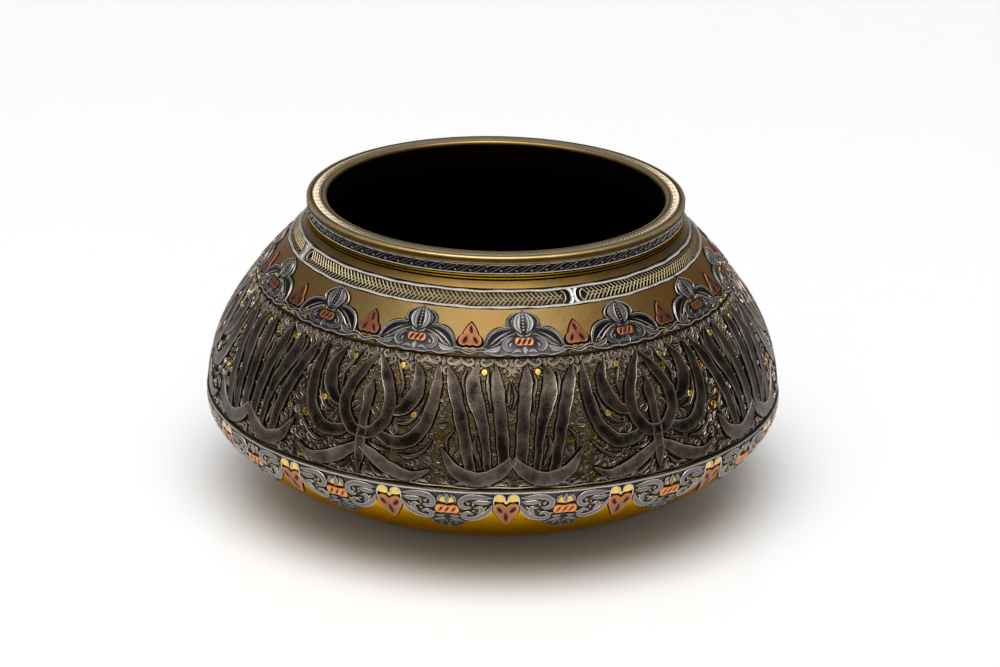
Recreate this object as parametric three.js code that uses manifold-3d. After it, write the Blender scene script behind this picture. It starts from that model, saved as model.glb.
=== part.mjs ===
// Inlaid brass bowl: a raised brass body, a heavy mouth ring, and silver and copper inlays.
// Millimetres, +Z up, origin at the centre of the base, front towards -Y.
import * as THREE from "three";
import { mergeVertices } from "three/addons/utils/BufferGeometryUtils.js";
import { TessellateModifier } from "three/addons/modifiers/TessellateModifier.js";
import Module from "manifold-3d";

const wasm = await Module();
wasm.setup();

// Body
const bellyRadius = 132;
const bellyHeight = 48;
const baseRadius = 56;
const neckRadius = 84.3;
const neckHeight = 132.4;
const neckSlope = 0.904; // how steeply the shoulder leaves the neck, in radians below level
const baseRise = 0.111; // how steeply the wall leaves the base, in radians above level
const neckPull = 31.7; // each pull is how far a profile curve keeps to its end tangent
const shoulderPull = 39.3;
const haunchPull = 20.7;
const basePull = 26.2;
const wallThickness = 3;

// Joint between the body and the mouth ring
const fitGap = 0.3; // between any two pieces that touch on the real bowl
const seatRun = 2.8; // how far down the skin from the neck the ring's seat begins
const spigotInset = 2.1;
const spigotThickness = 2.2;
const spigotHeight = 6.4;
const neckThickness = 1.6;

// Mouth ring
const ringInnerWall = 2.5;
const ringOuterWall = 2.4;
const skirtDrop = 1.9; // how far the ring's inner skirt hangs below the seat
const beadHeight = 1.3;
const beadProud = 1.3;
const braidHeight = 4.8;
const mouldingHeight = 3.5;
const mouldingProud = 1.5;
const lipRoll = 2.3; // width of the rounded brass on either side of the lip's silver strip
const lipRound = 1.1;

// Inlays
const sheetThickness = 0.7;
const friezeGap = 0.4; // wider than the fit gap, since a long faceted sheet cuts the curve's corners
const channelDepth = 0.9;
const groundDepth = 0.8;
const wireWidth = 1.3;
const wireThickness = 1.1;
const upperWireRun = 7.1;
const latticeHeight = 6;
const separatorWidth = 6;
const panelCount = 4;
const panelTurn = THREE.MathUtils.degToRad(22);

// Main band of arabesques: runs are distances down the skin from the neck
const bandStart = 38.3;
const bandEnd = 96.3;
const bandMargin = 2;
const arabesqueCount = 12;
const arabesqueTurn = THREE.MathUtils.degToRad(4);
const arabesqueGap = 2.6; // between the tips of neighbours

// Friezes above and below the band
const friezeMargin = 0.7; // from the edge of the band's ground
const upperRepeats = 14;
const upperTurn = THREE.MathUtils.degToRad(7.3);
const upperTipGap = 0.45; // from the palmettes' tips to the shoulder's channel
const upperLineHeight = 2.3;
const leafHeight = 11;
const leafClearance = 1.7;
const lowerRepeats = 16;
const lowerTurn = THREE.MathUtils.degToRad(14.2);
const lowerPalmetteHeight = 26.5;
const lowerLineHeight = 3.6;
const heartHeight = 15.7;
const heartClearance = 1.7;

// Fineness of the faceted surfaces
const roundSegments = 48;
const skinStep = 9.7;
const innerStep = 19;
const sheetEdge = 13;
const strokeStep = 9.5;
const separatorSides = 12;
const panelSteps = 14;

// The outer skin's section runs from the neck, over the belly, to the edge of the base.
const neckPoint = new THREE.Vector2(neckRadius, neckHeight);
const bellyPoint = new THREE.Vector2(bellyRadius, bellyHeight);
const basePoint = new THREE.Vector2(baseRadius, 0);
const profile = new THREE.CurvePath();
profile.add(
  new THREE.CubicBezierCurve(
    neckPoint,
    new THREE.Vector2(
      neckRadius + neckPull * Math.cos(neckSlope),
      neckHeight - neckPull * Math.sin(neckSlope),
    ),
    new THREE.Vector2(bellyRadius, bellyHeight + shoulderPull),
    bellyPoint,
  ),
);
profile.add(
  new THREE.CubicBezierCurve(
    bellyPoint,
    new THREE.Vector2(bellyRadius, bellyHeight - haunchPull),
    new THREE.Vector2(
      baseRadius + basePull * Math.cos(baseRise),
      basePull * Math.sin(baseRise),
    ),
    basePoint,
  ),
);
const skinLength = profile.getLength();

// The section's point that lies `run` down the outer skin from the neck, `lift` above it.
function skinPoint(run, lift) {
  const share = THREE.MathUtils.clamp(run / skinLength, 0, 1);
  const point = profile.getPoint(share);
  const along = profile.getTangent(share);
  return new THREE.Vector2(point.x - along.y * lift, point.y + along.x * lift);
}

// The same place in the round; angle 0 is the front and grows to the right as seen from there.
function onSkin(angle, run, lift) {
  const place = skinPoint(run, lift);
  return [place.x * Math.sin(angle), -place.x * Math.cos(angle), place.y];
}

// Section points down or up the skin from one run to another, no further apart than `step`.
function skinStretch(fromRun, toRun, lift, step) {
  const count = Math.ceil(Math.abs(toRun - fromRun) / step);
  const points = [];
  for (let i = 0; i <= count; i++)
    points.push(skinPoint(THREE.MathUtils.lerp(fromRun, toRun, i / count), lift));
  return points;
}

function turned(sectionPoints) {
  return new THREE.LatheGeometry(sectionPoints, roundSegments).rotateX(Math.PI / 2);
}

// A turned ring: its section closes on itself.
function turnedRing(sectionPoints) {
  return turned([...sectionPoints, sectionPoints[0].clone()]);
}

function vectors(pairs) {
  return pairs.map(([x, y]) => new THREE.Vector2(x, y));
}

// The right half of an outline, from top to bottom, and its mirror image as one closed shape.
function mirroredShape(rightHalf) {
  const leftHalf = rightHalf.filter(([x]) => x > 0).map(([x, y]) => [-x, y]);
  return new THREE.Shape(vectors([...leftHalf, ...rightHalf.toReversed()]));
}

// A stroke that swells and tapers along a smooth line through [x, y, width] points.
function strokeShape(points) {
  const spine = new THREE.SplineCurve(vectors(points));
  const swell = new THREE.SplineCurve(points.map(([, , width], i) => new THREE.Vector2(i, width)));
  const count = Math.ceil(spine.getLength() / strokeStep) + 1;
  const left = [];
  const right = [];
  for (let i = 0; i <= count; i++) {
    const centre = spine.getPoint(i / count);
    const along = spine.getTangent(i / count);
    const reach = swell.getPoint(i / count).y / 2;
    left.push(new THREE.Vector2(centre.x - along.y * reach, centre.y + along.x * reach));
    right.unshift(new THREE.Vector2(centre.x + along.y * reach, centre.y - along.x * reach));
  }
  return new THREE.Shape([...left, ...right]);
}

function mirroredStroke(points) {
  return [strokeShape(points), strokeShape(points.map(([x, y, width]) => [-x, y, width]))];
}

function toSolid(geometry) {
  const bare = geometry.clone();
  bare.deleteAttribute("normal");
  bare.deleteAttribute("uv");
  const merged = mergeVertices(bare, 1e-4);
  return new wasm.Manifold(
    new wasm.Mesh({
      numProp: 3,
      vertProperties: merged.getAttribute("position").array,
      triVerts: new Uint32Array(merged.index.array),
    }),
  );
}

function toGeometry(solid) {
  const mesh = solid.getMesh();
  return new THREE.BufferGeometry()
    .setAttribute("position", new THREE.BufferAttribute(mesh.vertProperties, mesh.numProp))
    .setIndex(new THREE.BufferAttribute(mesh.triVerts, 1));
}

// One flat sheet cut to the joined outline of all the shapes, its underside at height `low`.
function flatSheet(shapes, low, thickness) {
  const solids = shapes.map((shape) =>
    toSolid(new THREE.ExtrudeGeometry(shape, { depth: thickness, bevelEnabled: false })),
  );
  const sheet = solids.reduce((all, solid) => all.add(solid));
  return toGeometry(sheet).translate(0, 0, low);
}

// Bends a flat sheet onto the skin: its x runs round the bowl, its y up the skin from `run`.
function bentOnSkin(sheet, angle, run) {
  const fine = new TessellateModifier(sheetEdge, 12).modify(sheet.toNonIndexed());
  const radius = skinPoint(run, 0).x;
  const places = fine.getAttribute("position");
  for (let i = 0; i < places.count; i++) {
    const turn = angle + places.getX(i) / radius;
    places.setXYZ(i, ...onSkin(turn, run - places.getY(i), places.getZ(i)));
  }
  return new THREE.BufferGeometry().setAttribute("position", places);
}

// A sheet that follows the skin round the bowl, closed into a ring or with two ends.
// Each column is [angle, upper run, lower run], and `spans` divides its height.
function skinSheet(columns, spans, low, isRing) {
  const high = low + sheetThickness;
  const corners = 2 * (spans + 1);
  const places = [];
  const faces = [];
  for (const [angle, top, bottom] of columns) {
    for (let i = 0; i <= spans; i++)
      places.push(...onSkin(angle, THREE.MathUtils.lerp(top, bottom, i / spans), high));
    for (let i = spans; i >= 0; i--)
      places.push(...onSkin(angle, THREE.MathUtils.lerp(top, bottom, i / spans), low));
  }
  const steps = isRing ? columns.length : columns.length - 1;
  for (let column = 0; column < steps; column++) {
    const next = (column + 1) % columns.length;
    for (let corner = 0; corner < corners; corner++) {
      const below = (corner + 1) % corners;
      const a = column * corners + corner;
      const b = next * corners + corner;
      const c = next * corners + below;
      const d = column * corners + below;
      faces.push(a, d, b, b, d, c);
    }
  }
  if (!isRing) {
    const last = steps * corners;
    for (let span = 0; span < spans; span++) {
      const back = corners - 1 - span;
      faces.push(span, back, span + 1, span + 1, back, back - 1);
      faces.push(last + span, last + span + 1, last + back);
      faces.push(last + span + 1, last + back - 1, last + back);
    }
  }
  return new THREE.BufferGeometry()
    .setAttribute("position", new THREE.Float32BufferAttribute(places, 3))
    .setIndex(faces);
}

// [angle, height] all round a frieze whose palmettes stand on a line of their own height.
// The right half of one is a list of [share of half the pitch, share of the palmette's height].
function friezeOutline(repeats, turn, palmette, palmetteHeight, lineHeight) {
  const halfPitch = Math.PI / repeats;
  const leftHalf = palmette
    .filter(([x]) => x > 0)
    .map(([x, share]) => [-x, share])
    .reverse();
  const outline = [];
  for (let i = 0; i < repeats; i++) {
    const middle = turn + 2 * i * halfPitch;
    for (const [x, share] of [...leftHalf, ...palmette])
      outline.push([middle + x * halfPitch, share * palmetteHeight]);
    outline.push([middle + halfPitch, lineHeight]);
  }
  return outline;
}

// A copper sheet between two palmettes, its foot at `run`. The right half of its outline is
// a list of [share of half the pitch, share of its height], from top to bottom.
function pitchSheet(rightHalf, repeats, height, run) {
  const halfPitch = (Math.PI * skinPoint(run, 0).x) / repeats;
  const outline = mirroredShape(rightHalf.map(([x, y]) => [x * halfPitch, y * height]));
  return flatSheet([outline], fitGap, sheetThickness);
}

const bowl = new THREE.Group();
bowl.name = "inlaid_brass_bowl";

function addPiece(name, geometry, colour, roughness) {
  const material = new THREE.MeshStandardMaterial({ color: colour, roughness, metalness: 1 });
  const mesh = new THREE.Mesh(geometry, material);
  mesh.name = name;
  bowl.add(mesh);
}

const twoDigits = (number) => String(number).padStart(2, "0");
const brass = 0xb8923f;
const oldBrass = 0x8d7038;
const silver = 0x8b8784;
const brightSilver = 0xd8d2c8;
const darkSilver = 0x5f5a57;
const copper = 0xc07a4a;

// Body: a thick shell with a turned channel on the shoulder and a lowered ground for the main band.
const lowerWireRun = upperWireRun + wireWidth + 2 * fitGap + latticeHeight;
const channelStart = upperWireRun - wireWidth / 2 - fitGap;
const channelEnd = lowerWireRun + wireWidth / 2 + fitGap;
const seat = skinPoint(seatRun, 0);
const spigotRadius = neckRadius - spigotInset;
const boreRadius = spigotRadius - spigotThickness;
const spigotTop = seat.y + spigotHeight;
const innerSkin = skinStretch(seatRun + neckThickness, skinLength, -wallThickness, innerStep);
addPiece(
  "bowl_body",
  turned([
    new THREE.Vector2(0, 0),
    ...skinStretch(skinLength, bandEnd, 0, skinStep),
    ...skinStretch(bandEnd, bandStart, -groundDepth, skinStep),
    ...skinStretch(bandStart, channelEnd, 0, skinStep),
    ...skinStretch(channelEnd, channelStart, -channelDepth, skinStep),
    ...skinStretch(channelStart, seatRun, 0, skinStep),
    new THREE.Vector2(spigotRadius, seat.y),
    new THREE.Vector2(spigotRadius, spigotTop),
    new THREE.Vector2(boreRadius, spigotTop),
    new THREE.Vector2(boreRadius, seat.y - neckThickness),
    ...innerSkin,
    new THREE.Vector2(0, innerSkin.at(-1).y),
  ]),
  brass,
  0.35,
);

// Mouth ring: slides over the spigot, with two beads, a channel for the braid and a moulded lip.
const ringFoot = seat.y + fitGap;
const beadCount = 2;
const braidFloor = spigotRadius + fitGap + ringOuterWall;
const braidStart = ringFoot + beadCount * beadHeight;
const braidEnd = braidStart + braidHeight;
const rimTop = braidEnd + mouldingHeight;
const lipInnerRadius = boreRadius - fitGap - ringInnerWall;
const lipOuterRadius = braidFloor + mouldingProud;
const stripInner = lipInnerRadius + lipRoll;
const stripOuter = lipOuterRadius - lipRoll;
const beads = [];
for (let i = 0; i < beadCount; i++) {
  beads.push([braidFloor, ringFoot + i * beadHeight]);
  beads.push([braidFloor + beadProud, ringFoot + (i + 0.5) * beadHeight]);
}
addPiece(
  "rim_ring",
  turnedRing(
    vectors([
      ...beads,
      [braidFloor, braidStart],
      [braidFloor, braidEnd],
      [lipOuterRadius, braidEnd],
      [lipOuterRadius, rimTop - lipRound],
      [lipOuterRadius - lipRound, rimTop],
      [stripOuter, rimTop],
      [stripOuter, rimTop - channelDepth],
      [stripInner, rimTop - channelDepth],
      [stripInner, rimTop],
      [lipInnerRadius + lipRound, rimTop],
      [lipInnerRadius, rimTop - lipRound],
      [lipInnerRadius, seat.y - skirtDrop],
      [boreRadius - fitGap, seat.y - skirtDrop],
      [boreRadius - fitGap, spigotTop + fitGap],
      [spigotRadius + fitGap, spigotTop + fitGap],
      [spigotRadius + fitGap, ringFoot],
    ]),
  ),
  oldBrass,
  0.4,
);

// Silver strip let into the top of the lip
const stripFloor = rimTop - channelDepth + fitGap;
addPiece(
  "lip_inlay",
  turnedRing(
    vectors([
      [stripOuter - fitGap, stripFloor],
      [stripOuter - fitGap, stripFloor + sheetThickness],
      [stripInner + fitGap, stripFloor + sheetThickness],
      [stripInner + fitGap, stripFloor],
    ]),
  ),
  silver,
  0.45,
);

// Braided silver band in the ring's outer channel, a little thicker along its middle
const braidSeat = braidFloor + fitGap;
addPiece(
  "collar_braid",
  turnedRing(
    vectors([
      [braidSeat, braidStart + fitGap],
      [braidSeat + sheetThickness, braidStart + fitGap],
      [braidFloor + mouldingProud, (braidStart + braidEnd) / 2],
      [braidSeat + sheetThickness, braidEnd - fitGap],
      [braidSeat, braidEnd - fitGap],
    ]),
  ),
  darkSilver,
  0.5,
);

// Two silver wires hammered into the shoulder's channel
const channelSeat = fitGap - channelDepth;
function wireRing(run) {
  return turnedRing([
    skinPoint(run + wireWidth / 2, channelSeat),
    skinPoint(run + wireWidth / 4, channelSeat + wireThickness),
    skinPoint(run - wireWidth / 4, channelSeat + wireThickness),
    skinPoint(run - wireWidth / 2, channelSeat),
  ]);
}
addPiece("shoulder_wire_upper", wireRing(upperWireRun), brightSilver, 0.3);
addPiece("shoulder_wire_lower", wireRing(lowerWireRun), brightSilver, 0.3);

// Lattice panels between the wires, parted by rounded silver separators
const panelRun = (upperWireRun + lowerWireRun) / 2;
const separatorReach = (separatorWidth / 2 + fitGap) / skinPoint(panelRun, 0).x;
const panelStart = panelTurn + separatorReach;
const panelAngle = (2 * Math.PI) / panelCount - 2 * separatorReach;
const separatorOutline = new THREE.Shape(
  new THREE.EllipseCurve(0, 0, separatorWidth / 2, latticeHeight / 2)
    .getPoints(separatorSides)
    .slice(1),
);
for (let i = 0; i < panelCount; i++) {
  const turn = (i * 2 * Math.PI) / panelCount;
  const columns = [];
  for (let step = 0; step <= panelSteps; step++)
    columns.push([
      panelStart + turn + (panelAngle * step) / panelSteps,
      panelRun - latticeHeight / 2,
      panelRun + latticeHeight / 2,
    ]);
  addPiece("shoulder_panel_" + (i + 1), skinSheet(columns, 1, channelSeat, false), oldBrass, 0.45);
  const separator = flatSheet([separatorOutline], channelSeat, wireThickness);
  addPiece(
    "shoulder_separator_" + (i + 1),
    bentOnSkin(separator, panelTurn + turn, panelRun),
    brightSilver,
    0.35,
  );
}

// Upper frieze: three-lobed palmettes standing on a silver line that joins them all
const upperPalmette = [
  [0, 1],
  [0.18, 0.95],
  [0.32, 0.79],
  [0.35, 0.66],
  [0.54, 0.64],
  [0.72, 0.44],
  [0.75, 0.14],
];
const upperFoot = bandStart - friezeMargin;
const upperPalmetteHeight = upperFoot - channelEnd - upperTipGap;
const upperColumns = friezeOutline(
  upperRepeats,
  upperTurn,
  upperPalmette,
  upperPalmetteHeight,
  upperLineHeight,
).map(([angle, height]) => [angle, upperFoot - height, upperFoot]);
addPiece("upper_silver_frieze", skinSheet(upperColumns, 1, friezeGap, true), silver, 0.42);

// Copper leaves between the palmettes, pointing up
const leafHalf = [
  [0, 1],
  [0.07, 0.79],
  [0.1, 0.56],
  [0.19, 0.34],
  [0.21, 0.13],
  [0.13, 0],
  [0, 0.07],
];
const leafFoot = upperFoot - upperLineHeight - leafClearance;
for (let i = 0; i < upperRepeats; i++) {
  const angle = upperTurn + ((i + 0.5) * 2 * Math.PI) / upperRepeats;
  const sheet = pitchSheet(leafHalf, upperRepeats, leafHeight, leafFoot);
  addPiece("upper_copper_leaf_" + twoDigits(i + 1), bentOnSkin(sheet, angle, leafFoot), copper, 0.4);
}

// Lower frieze: palmettes of the same kind hanging down from the line that joins them
const lowerPalmette = [
  [0, 1],
  [0.11, 0.875],
  [0.38, 0.7],
  [0.61, 0.51],
  [0.745, 0.23],
];
const lowerHead = bandEnd + friezeMargin;
const lowerColumns = friezeOutline(
  lowerRepeats,
  lowerTurn,
  lowerPalmette,
  lowerPalmetteHeight,
  lowerLineHeight,
).map(([angle, height]) => [angle, lowerHead, lowerHead + height]);
addPiece("lower_silver_frieze", skinSheet(lowerColumns, 4, friezeGap, true), silver, 0.4);

// Copper hearts between them, pointing down
const heartHalf = [
  [0, 0.92],
  [0.075, 1],
  [0.17, 0.97],
  [0.225, 0.81],
  [0.2, 0.61],
  [0.12, 0.32],
  [0, 0],
];
const heartPoint = lowerHead + lowerLineHeight + heartClearance + heartHeight;
for (let i = 0; i < lowerRepeats; i++) {
  const angle = lowerTurn + ((i + 0.5) * 2 * Math.PI) / lowerRepeats;
  const sheet = pitchSheet(heartHalf, lowerRepeats, heartHeight, heartPoint);
  addPiece(
    "lower_copper_heart_" + twoDigits(i + 1),
    bentOnSkin(sheet, angle, heartPoint),
    copper,
    0.4,
  );
}

// Main band: two arabesques in turn, one a fan of blades and one built round a drop.
// Their points are [x, y, width] about the middle of the band, y up the skin.
const lancetShapes = [
  ...mirroredStroke([
    [0, -15.5, 3.6],
    [6, -21.4, 6],
    [15, -24.4, 6.6],
    [24, -20.4, 5.2],
    [30, -11.5, 1],
  ]),
  ...mirroredStroke([
    [7.6, 26.4, 1],
    [6.9, 18.5, 5.6],
    [5.4, 6, 5.4],
    [4.3, -6, 5.4],
    [3.6, -17.5, 4.8],
  ]),
  ...mirroredStroke([
    [30.4, 25.2, 1],
    [27.4, 17.6, 5.4],
    [23.6, 6, 5.6],
    [20.4, -6, 5.2],
    [17.4, -21, 4.2],
  ]),
  ...mirroredStroke([
    [15, 26.2, 1],
    [17.8, 20.4, 5.6],
    [17, 12.4, 7.4],
    [13.8, 3, 5.8],
    [11.6, -7, 3.8],
    [10.2, -20, 3],
  ]),
];
const dropShapes = [
  ...mirroredStroke([
    [0, 26.6, 1.2],
    [5.8, 18, 4.8],
    [10.4, 7.6, 5.6],
    [9.8, -1.6, 5.8],
    [4.8, -8, 5.4],
    [-0.4, -9.4, 4.6],
  ]),
  strokeShape([
    [0, 14.5, 1],
    [0, 8.2, 5],
    [0, 1.4, 4.2],
    [0, -8.8, 4.4],
    [0, -18, 4.6],
    [0, -26.6, 1],
  ]),
  ...mirroredStroke([
    [0.6, -14.5, 3],
    [8, -19.6, 5.8],
    [17, -24, 5.8],
    [25, -24.6, 3.8],
    [31.4, -21.2, 1],
  ]),
  ...mirroredStroke([
    [11.4, 1.4, 3],
    [16.8, 3.4, 5.4],
    [21.2, 9.4, 6.8],
    [22.4, 17.4, 5.4],
    [18.6, 26.2, 1],
  ]),
  ...mirroredStroke([
    [5.6, -7.6, 3.2],
    [13, -10.8, 5.4],
    [21, -9.8, 6.2],
    [27.4, -2.6, 5.6],
    [30.4, 8.4, 5.4],
    [31, 18, 4.4],
    [30.2, 26.2, 1],
  ]),
];
const bandMiddle = (bandStart + bandEnd) / 2;
const bandSeat = fitGap - groundDepth;
const arabesquePitch = (2 * Math.PI * skinPoint(bandMiddle, 0).x) / arabesqueCount;

// An arabesque's sheet, drawn out to fill its share of the band both ways
function arabesqueSheet(shapes) {
  const sheet = flatSheet(shapes, bandSeat, sheetThickness);
  sheet.computeBoundingBox();
  const drawn = sheet.boundingBox.getSize(new THREE.Vector3());
  const middle = sheet.boundingBox.getCenter(new THREE.Vector3());
  const width = arabesquePitch - arabesqueGap;
  const height = bandEnd - bandStart - 2 * bandMargin;
  return sheet.translate(0, -middle.y, 0).scale(width / drawn.x, height / drawn.y, 1);
}

for (let i = 0; i < arabesqueCount; i++) {
  const isLancet = i % 2 === 0;
  addPiece(
    (isLancet ? "lancet_arabesque_" : "drop_arabesque_") + twoDigits(i + 1),
    bentOnSkin(
      arabesqueSheet(isLancet ? lancetShapes : dropShapes),
      arabesqueTurn + (i * 2 * Math.PI) / arabesqueCount,
      bandMiddle,
    ),
    darkSilver,
    0.42,
  );
}

export default bowl;
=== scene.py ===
"""Inlaid brass bowl: the fine surfaces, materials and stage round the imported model.

Run as a script inside Blender. Every inlay is first drawn flat, in millimetres: x to the right,
y up the skin and h off it. It is then laid onto the bowl's skin, where x becomes a turn about the
axis and y a distance along the skin's section.
"""
import math

import bpy
import numpy as np
from mathutils import Matrix


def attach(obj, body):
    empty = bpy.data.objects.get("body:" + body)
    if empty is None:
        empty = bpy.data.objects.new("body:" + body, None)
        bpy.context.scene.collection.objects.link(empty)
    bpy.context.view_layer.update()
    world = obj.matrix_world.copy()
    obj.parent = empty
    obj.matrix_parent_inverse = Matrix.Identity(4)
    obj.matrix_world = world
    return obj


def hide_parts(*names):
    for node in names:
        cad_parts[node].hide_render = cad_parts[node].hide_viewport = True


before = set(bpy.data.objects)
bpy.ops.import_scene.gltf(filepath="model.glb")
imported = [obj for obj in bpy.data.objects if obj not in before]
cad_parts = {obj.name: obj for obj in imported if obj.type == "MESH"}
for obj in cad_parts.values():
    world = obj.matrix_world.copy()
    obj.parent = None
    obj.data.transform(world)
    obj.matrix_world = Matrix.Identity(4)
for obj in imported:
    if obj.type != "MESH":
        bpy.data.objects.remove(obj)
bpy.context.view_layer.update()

bl_info = {
    "name": "Inlaid brass bowl",
    "version": (1, 0, 0),
    "blender": (4, 5, 0),
    "location": "View3D > Sidebar > Bowl",
    "description": "Builds the visible surfaces of a brass bowl inlaid with silver and copper",
    "category": "Object",
}

MM = 0.001
TURN = 2 * math.pi
ROUND = 360  # stations round a turned piece
SHARP_EDGE = math.radians(38)  # where two smooth faces meet at more than this, the edge stays sharp
SEAT_RUN = 2.8  # run where the mouth ring sits down on the body, in mm
NARROWEST = 0.1  # a stroke never tapers below this width, in mm
BEVEL = 0.35  # width of the rim on the friezes' plates, in mm
DENT_DARKNESS = 1.6  # how much brightness the middle of a dent loses


def linear(hex_colour):
    """An sRGB hex colour as linear red, green and blue."""
    channels = [int(hex_colour[i : i + 2], 16) / 255 for i in (0, 2, 4)]
    return tuple(c / 12.92 if c <= 0.04045 else ((c + 0.055) / 1.055) ** 2.4 for c in channels)


def length(name, description, millimetres):
    """A property that holds a length, given here in millimetres."""
    return bpy.props.FloatProperty(
        name=name, description=description, default=millimetres * MM, min=0, unit="LENGTH", precision=5
    )


def angle(name, description, degrees):
    """A property that holds an angle, given here in degrees."""
    return bpy.props.FloatProperty(
        name=name, description=description, default=math.radians(degrees), unit="ROTATION"
    )


def count(name, description, number):
    """A property that holds how many there are."""
    return bpy.props.IntProperty(name=name, description=description, default=number, min=1)


def colour(name, description, hex_colour):
    """A property that holds a colour, given here in sRGB hex."""
    return bpy.props.FloatVectorProperty(
        name=name, description=description, default=linear(hex_colour), size=3, min=0, max=1, subtype="COLOR"
    )


class BowlSizes(bpy.types.PropertyGroup):
    """Sizes of the bowl and of its bands of inlay. Runs are distances down the skin from the neck."""

    belly_radius: length("Belly radius", "Largest radius of the body", 132)
    belly_height: length("Belly height", "Height of the largest radius", 48)
    base_radius: length("Base radius", "Radius of the flat base", 56)
    neck_radius: length("Neck radius", "Radius where the skin meets the neck", 84.3)
    neck_height: length("Neck height", "Height where the skin meets the neck", 132.4)
    wall: length("Wall", "Thickness of the body", 3)
    ground_depth: length("Ground depth", "How far the main band's ground is cut back", 0.8)
    channel_depth: length("Channel depth", "Depth of the shoulder's channel", 0.9)
    channel_start: length("Channel start", "Run where the shoulder's channel begins", 6.15)
    channel_end: length("Channel end", "Run where the shoulder's channel ends", 15.95)
    band_start: length("Band start", "Run where the main band begins", 38.3)
    band_end: length("Band end", "Run where the main band ends", 96.3)
    upper_foot: length("Upper frieze foot", "Run of the upper frieze's joining line", 37.6)
    lower_head: length("Lower frieze head", "Run of the lower frieze's joining line", 97)
    upper_repeats: count("Upper palmettes", "Palmettes in the upper frieze", 14)
    lower_repeats: count("Lower palmettes", "Palmettes in the lower frieze", 16)
    arabesques: count("Arabesques", "Large arabesques in the main band", 12)
    upper_turn: angle("Upper turn", "Where the first upper palmette stands", 7.3)
    lower_turn: angle("Lower turn", "Where the first lower palmette hangs", 14.2)
    band_turn: angle("Band turn", "Where the first arabesque stands", 4)
    panel_turn: angle("Panel turn", "Where the first lattice separator stands", 22)


class BowlColours(bpy.types.PropertyGroup):
    """Colours of the metals."""

    brass: colour("Brass", "Polished brass of the body", "7E6A42")
    brass_tarnish: colour("Brass tarnish", "Brown film on the brass", "8C5C24")
    brass_bright: colour("Bright brass", "Brass worn bright on its edges", "CDB37C")
    ring_brass: colour("Ring brass", "Olive film on the mouth ring", "86693A")
    soot: colour("Soot", "Blackened metal in the recesses and the inside", "14100B")
    silver: colour("Silver", "Silver worn bright on its edges", "D8CDBE")
    silver_film: colour("Silver film", "Grey film on the friezes' silver", "605F61")
    silver_tarnish: colour("Silver tarnish", "Brown-black film on the main band's silver", "4E433B")
    copper: colour("Copper", "Face of the copper leaves", "98684E")
    copper_bright: colour("Bright copper", "Copper worn bright", "E08E4C")
    copper_tarnish: colour("Copper tarnish", "Dents in the copper", "44200F")
    floor: colour("Floor", "The studio floor", "FDFDFD")


class Skin:
    """The outer skin's section by arc length: two cubic Bezier curves, neck to belly to base."""

    # Angles of the skin at the neck and at the base, and the lengths of the curves' handles in mm,
    # fitted to the silhouette
    NECK_SLOPE, BASE_RISE = 0.904, 0.111
    NECK_PULL, SHOULDER_PULL, HAUNCH_PULL, BASE_PULL = 31.7, 39.3, 20.7, 26.2
    STATIONS = 600  # along each curve

    def __init__(self, sizes):
        neck = np.array([sizes.neck_radius, sizes.neck_height]) / MM
        belly = np.array([sizes.belly_radius, sizes.belly_height]) / MM
        base = np.array([sizes.base_radius / MM, 0])
        up = np.array([0, 1])
        shoulder = np.array([math.cos(self.NECK_SLOPE), -math.sin(self.NECK_SLOPE)])
        foot = np.array([math.cos(self.BASE_RISE), math.sin(self.BASE_RISE)])
        upper = [neck, neck + self.NECK_PULL * shoulder, belly + self.SHOULDER_PULL * up, belly]
        lower = [belly, belly - self.HAUNCH_PULL * up, base + self.BASE_PULL * foot, base]
        t = np.linspace(0, 1, self.STATIONS)[:, None]
        halves = [
            (1 - t) ** 3 * a + 3 * (1 - t) ** 2 * t * b + 3 * (1 - t) * t**2 * c + t**3 * d
            for a, b, c, d in (upper, lower)
        ]
        self.section = np.vstack([halves[0], halves[1][1:]])
        steps = np.linalg.norm(np.diff(self.section, axis=0), axis=1)
        self.runs = np.concatenate([[0], np.cumsum(steps)])
        self.length = self.runs[-1]
        self.tangent = np.gradient(self.section, self.runs, axis=0)

    def point(self, run, lift=0.0):
        """Radius and height at a run, moved off the skin along its outward normal."""
        r, z, across, up = (
            np.interp(run, self.runs, column) for column in (*self.section.T, *self.tangent.T)
        )
        return r - up * lift, z + across * lift

    def radius(self, run):
        return float(np.interp(run, self.runs, self.section[:, 0]))

    def wrap(self, turn, run, lift):
        """Metres in the round from turn, run and lift. Turn 0 is the front and grows to the right."""
        r, z = self.point(run, lift)
        return np.stack([r * np.sin(turn), -r * np.cos(turn), z], axis=-1) * MM


# Sections of an inlaid strip, from its left foot over the top to its right foot. Each point is
# [share of the half width, share of the height, how bright the metal is there: wear, with a painted
# highlight on the rims].
SHEET = np.array(
    [[-1, 0, 0], [-1, 0.62, 0.55], [-0.9, 1, 1], [-0.72, 0.86, 0.22], [-0.3, 0.8, 0],
     [0.3, 0.8, 0], [0.72, 0.86, 0.22], [0.9, 1, 1], [1, 0.62, 0.55], [1, 0, 0]]
)
VEINED = np.array(
    [[-1, 0, 0], [-1, 0.62, 0.5], [-0.86, 1, 0.9], [-0.6, 0.8, 0.1], [-0.14, 0.84, 0.15],
     [0, 0.45, -0.3],
     [0.14, 0.84, 0.15], [0.6, 0.8, 0.1], [0.86, 1, 0.9], [1, 0.62, 0.5], [1, 0, 0]]
)
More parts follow.
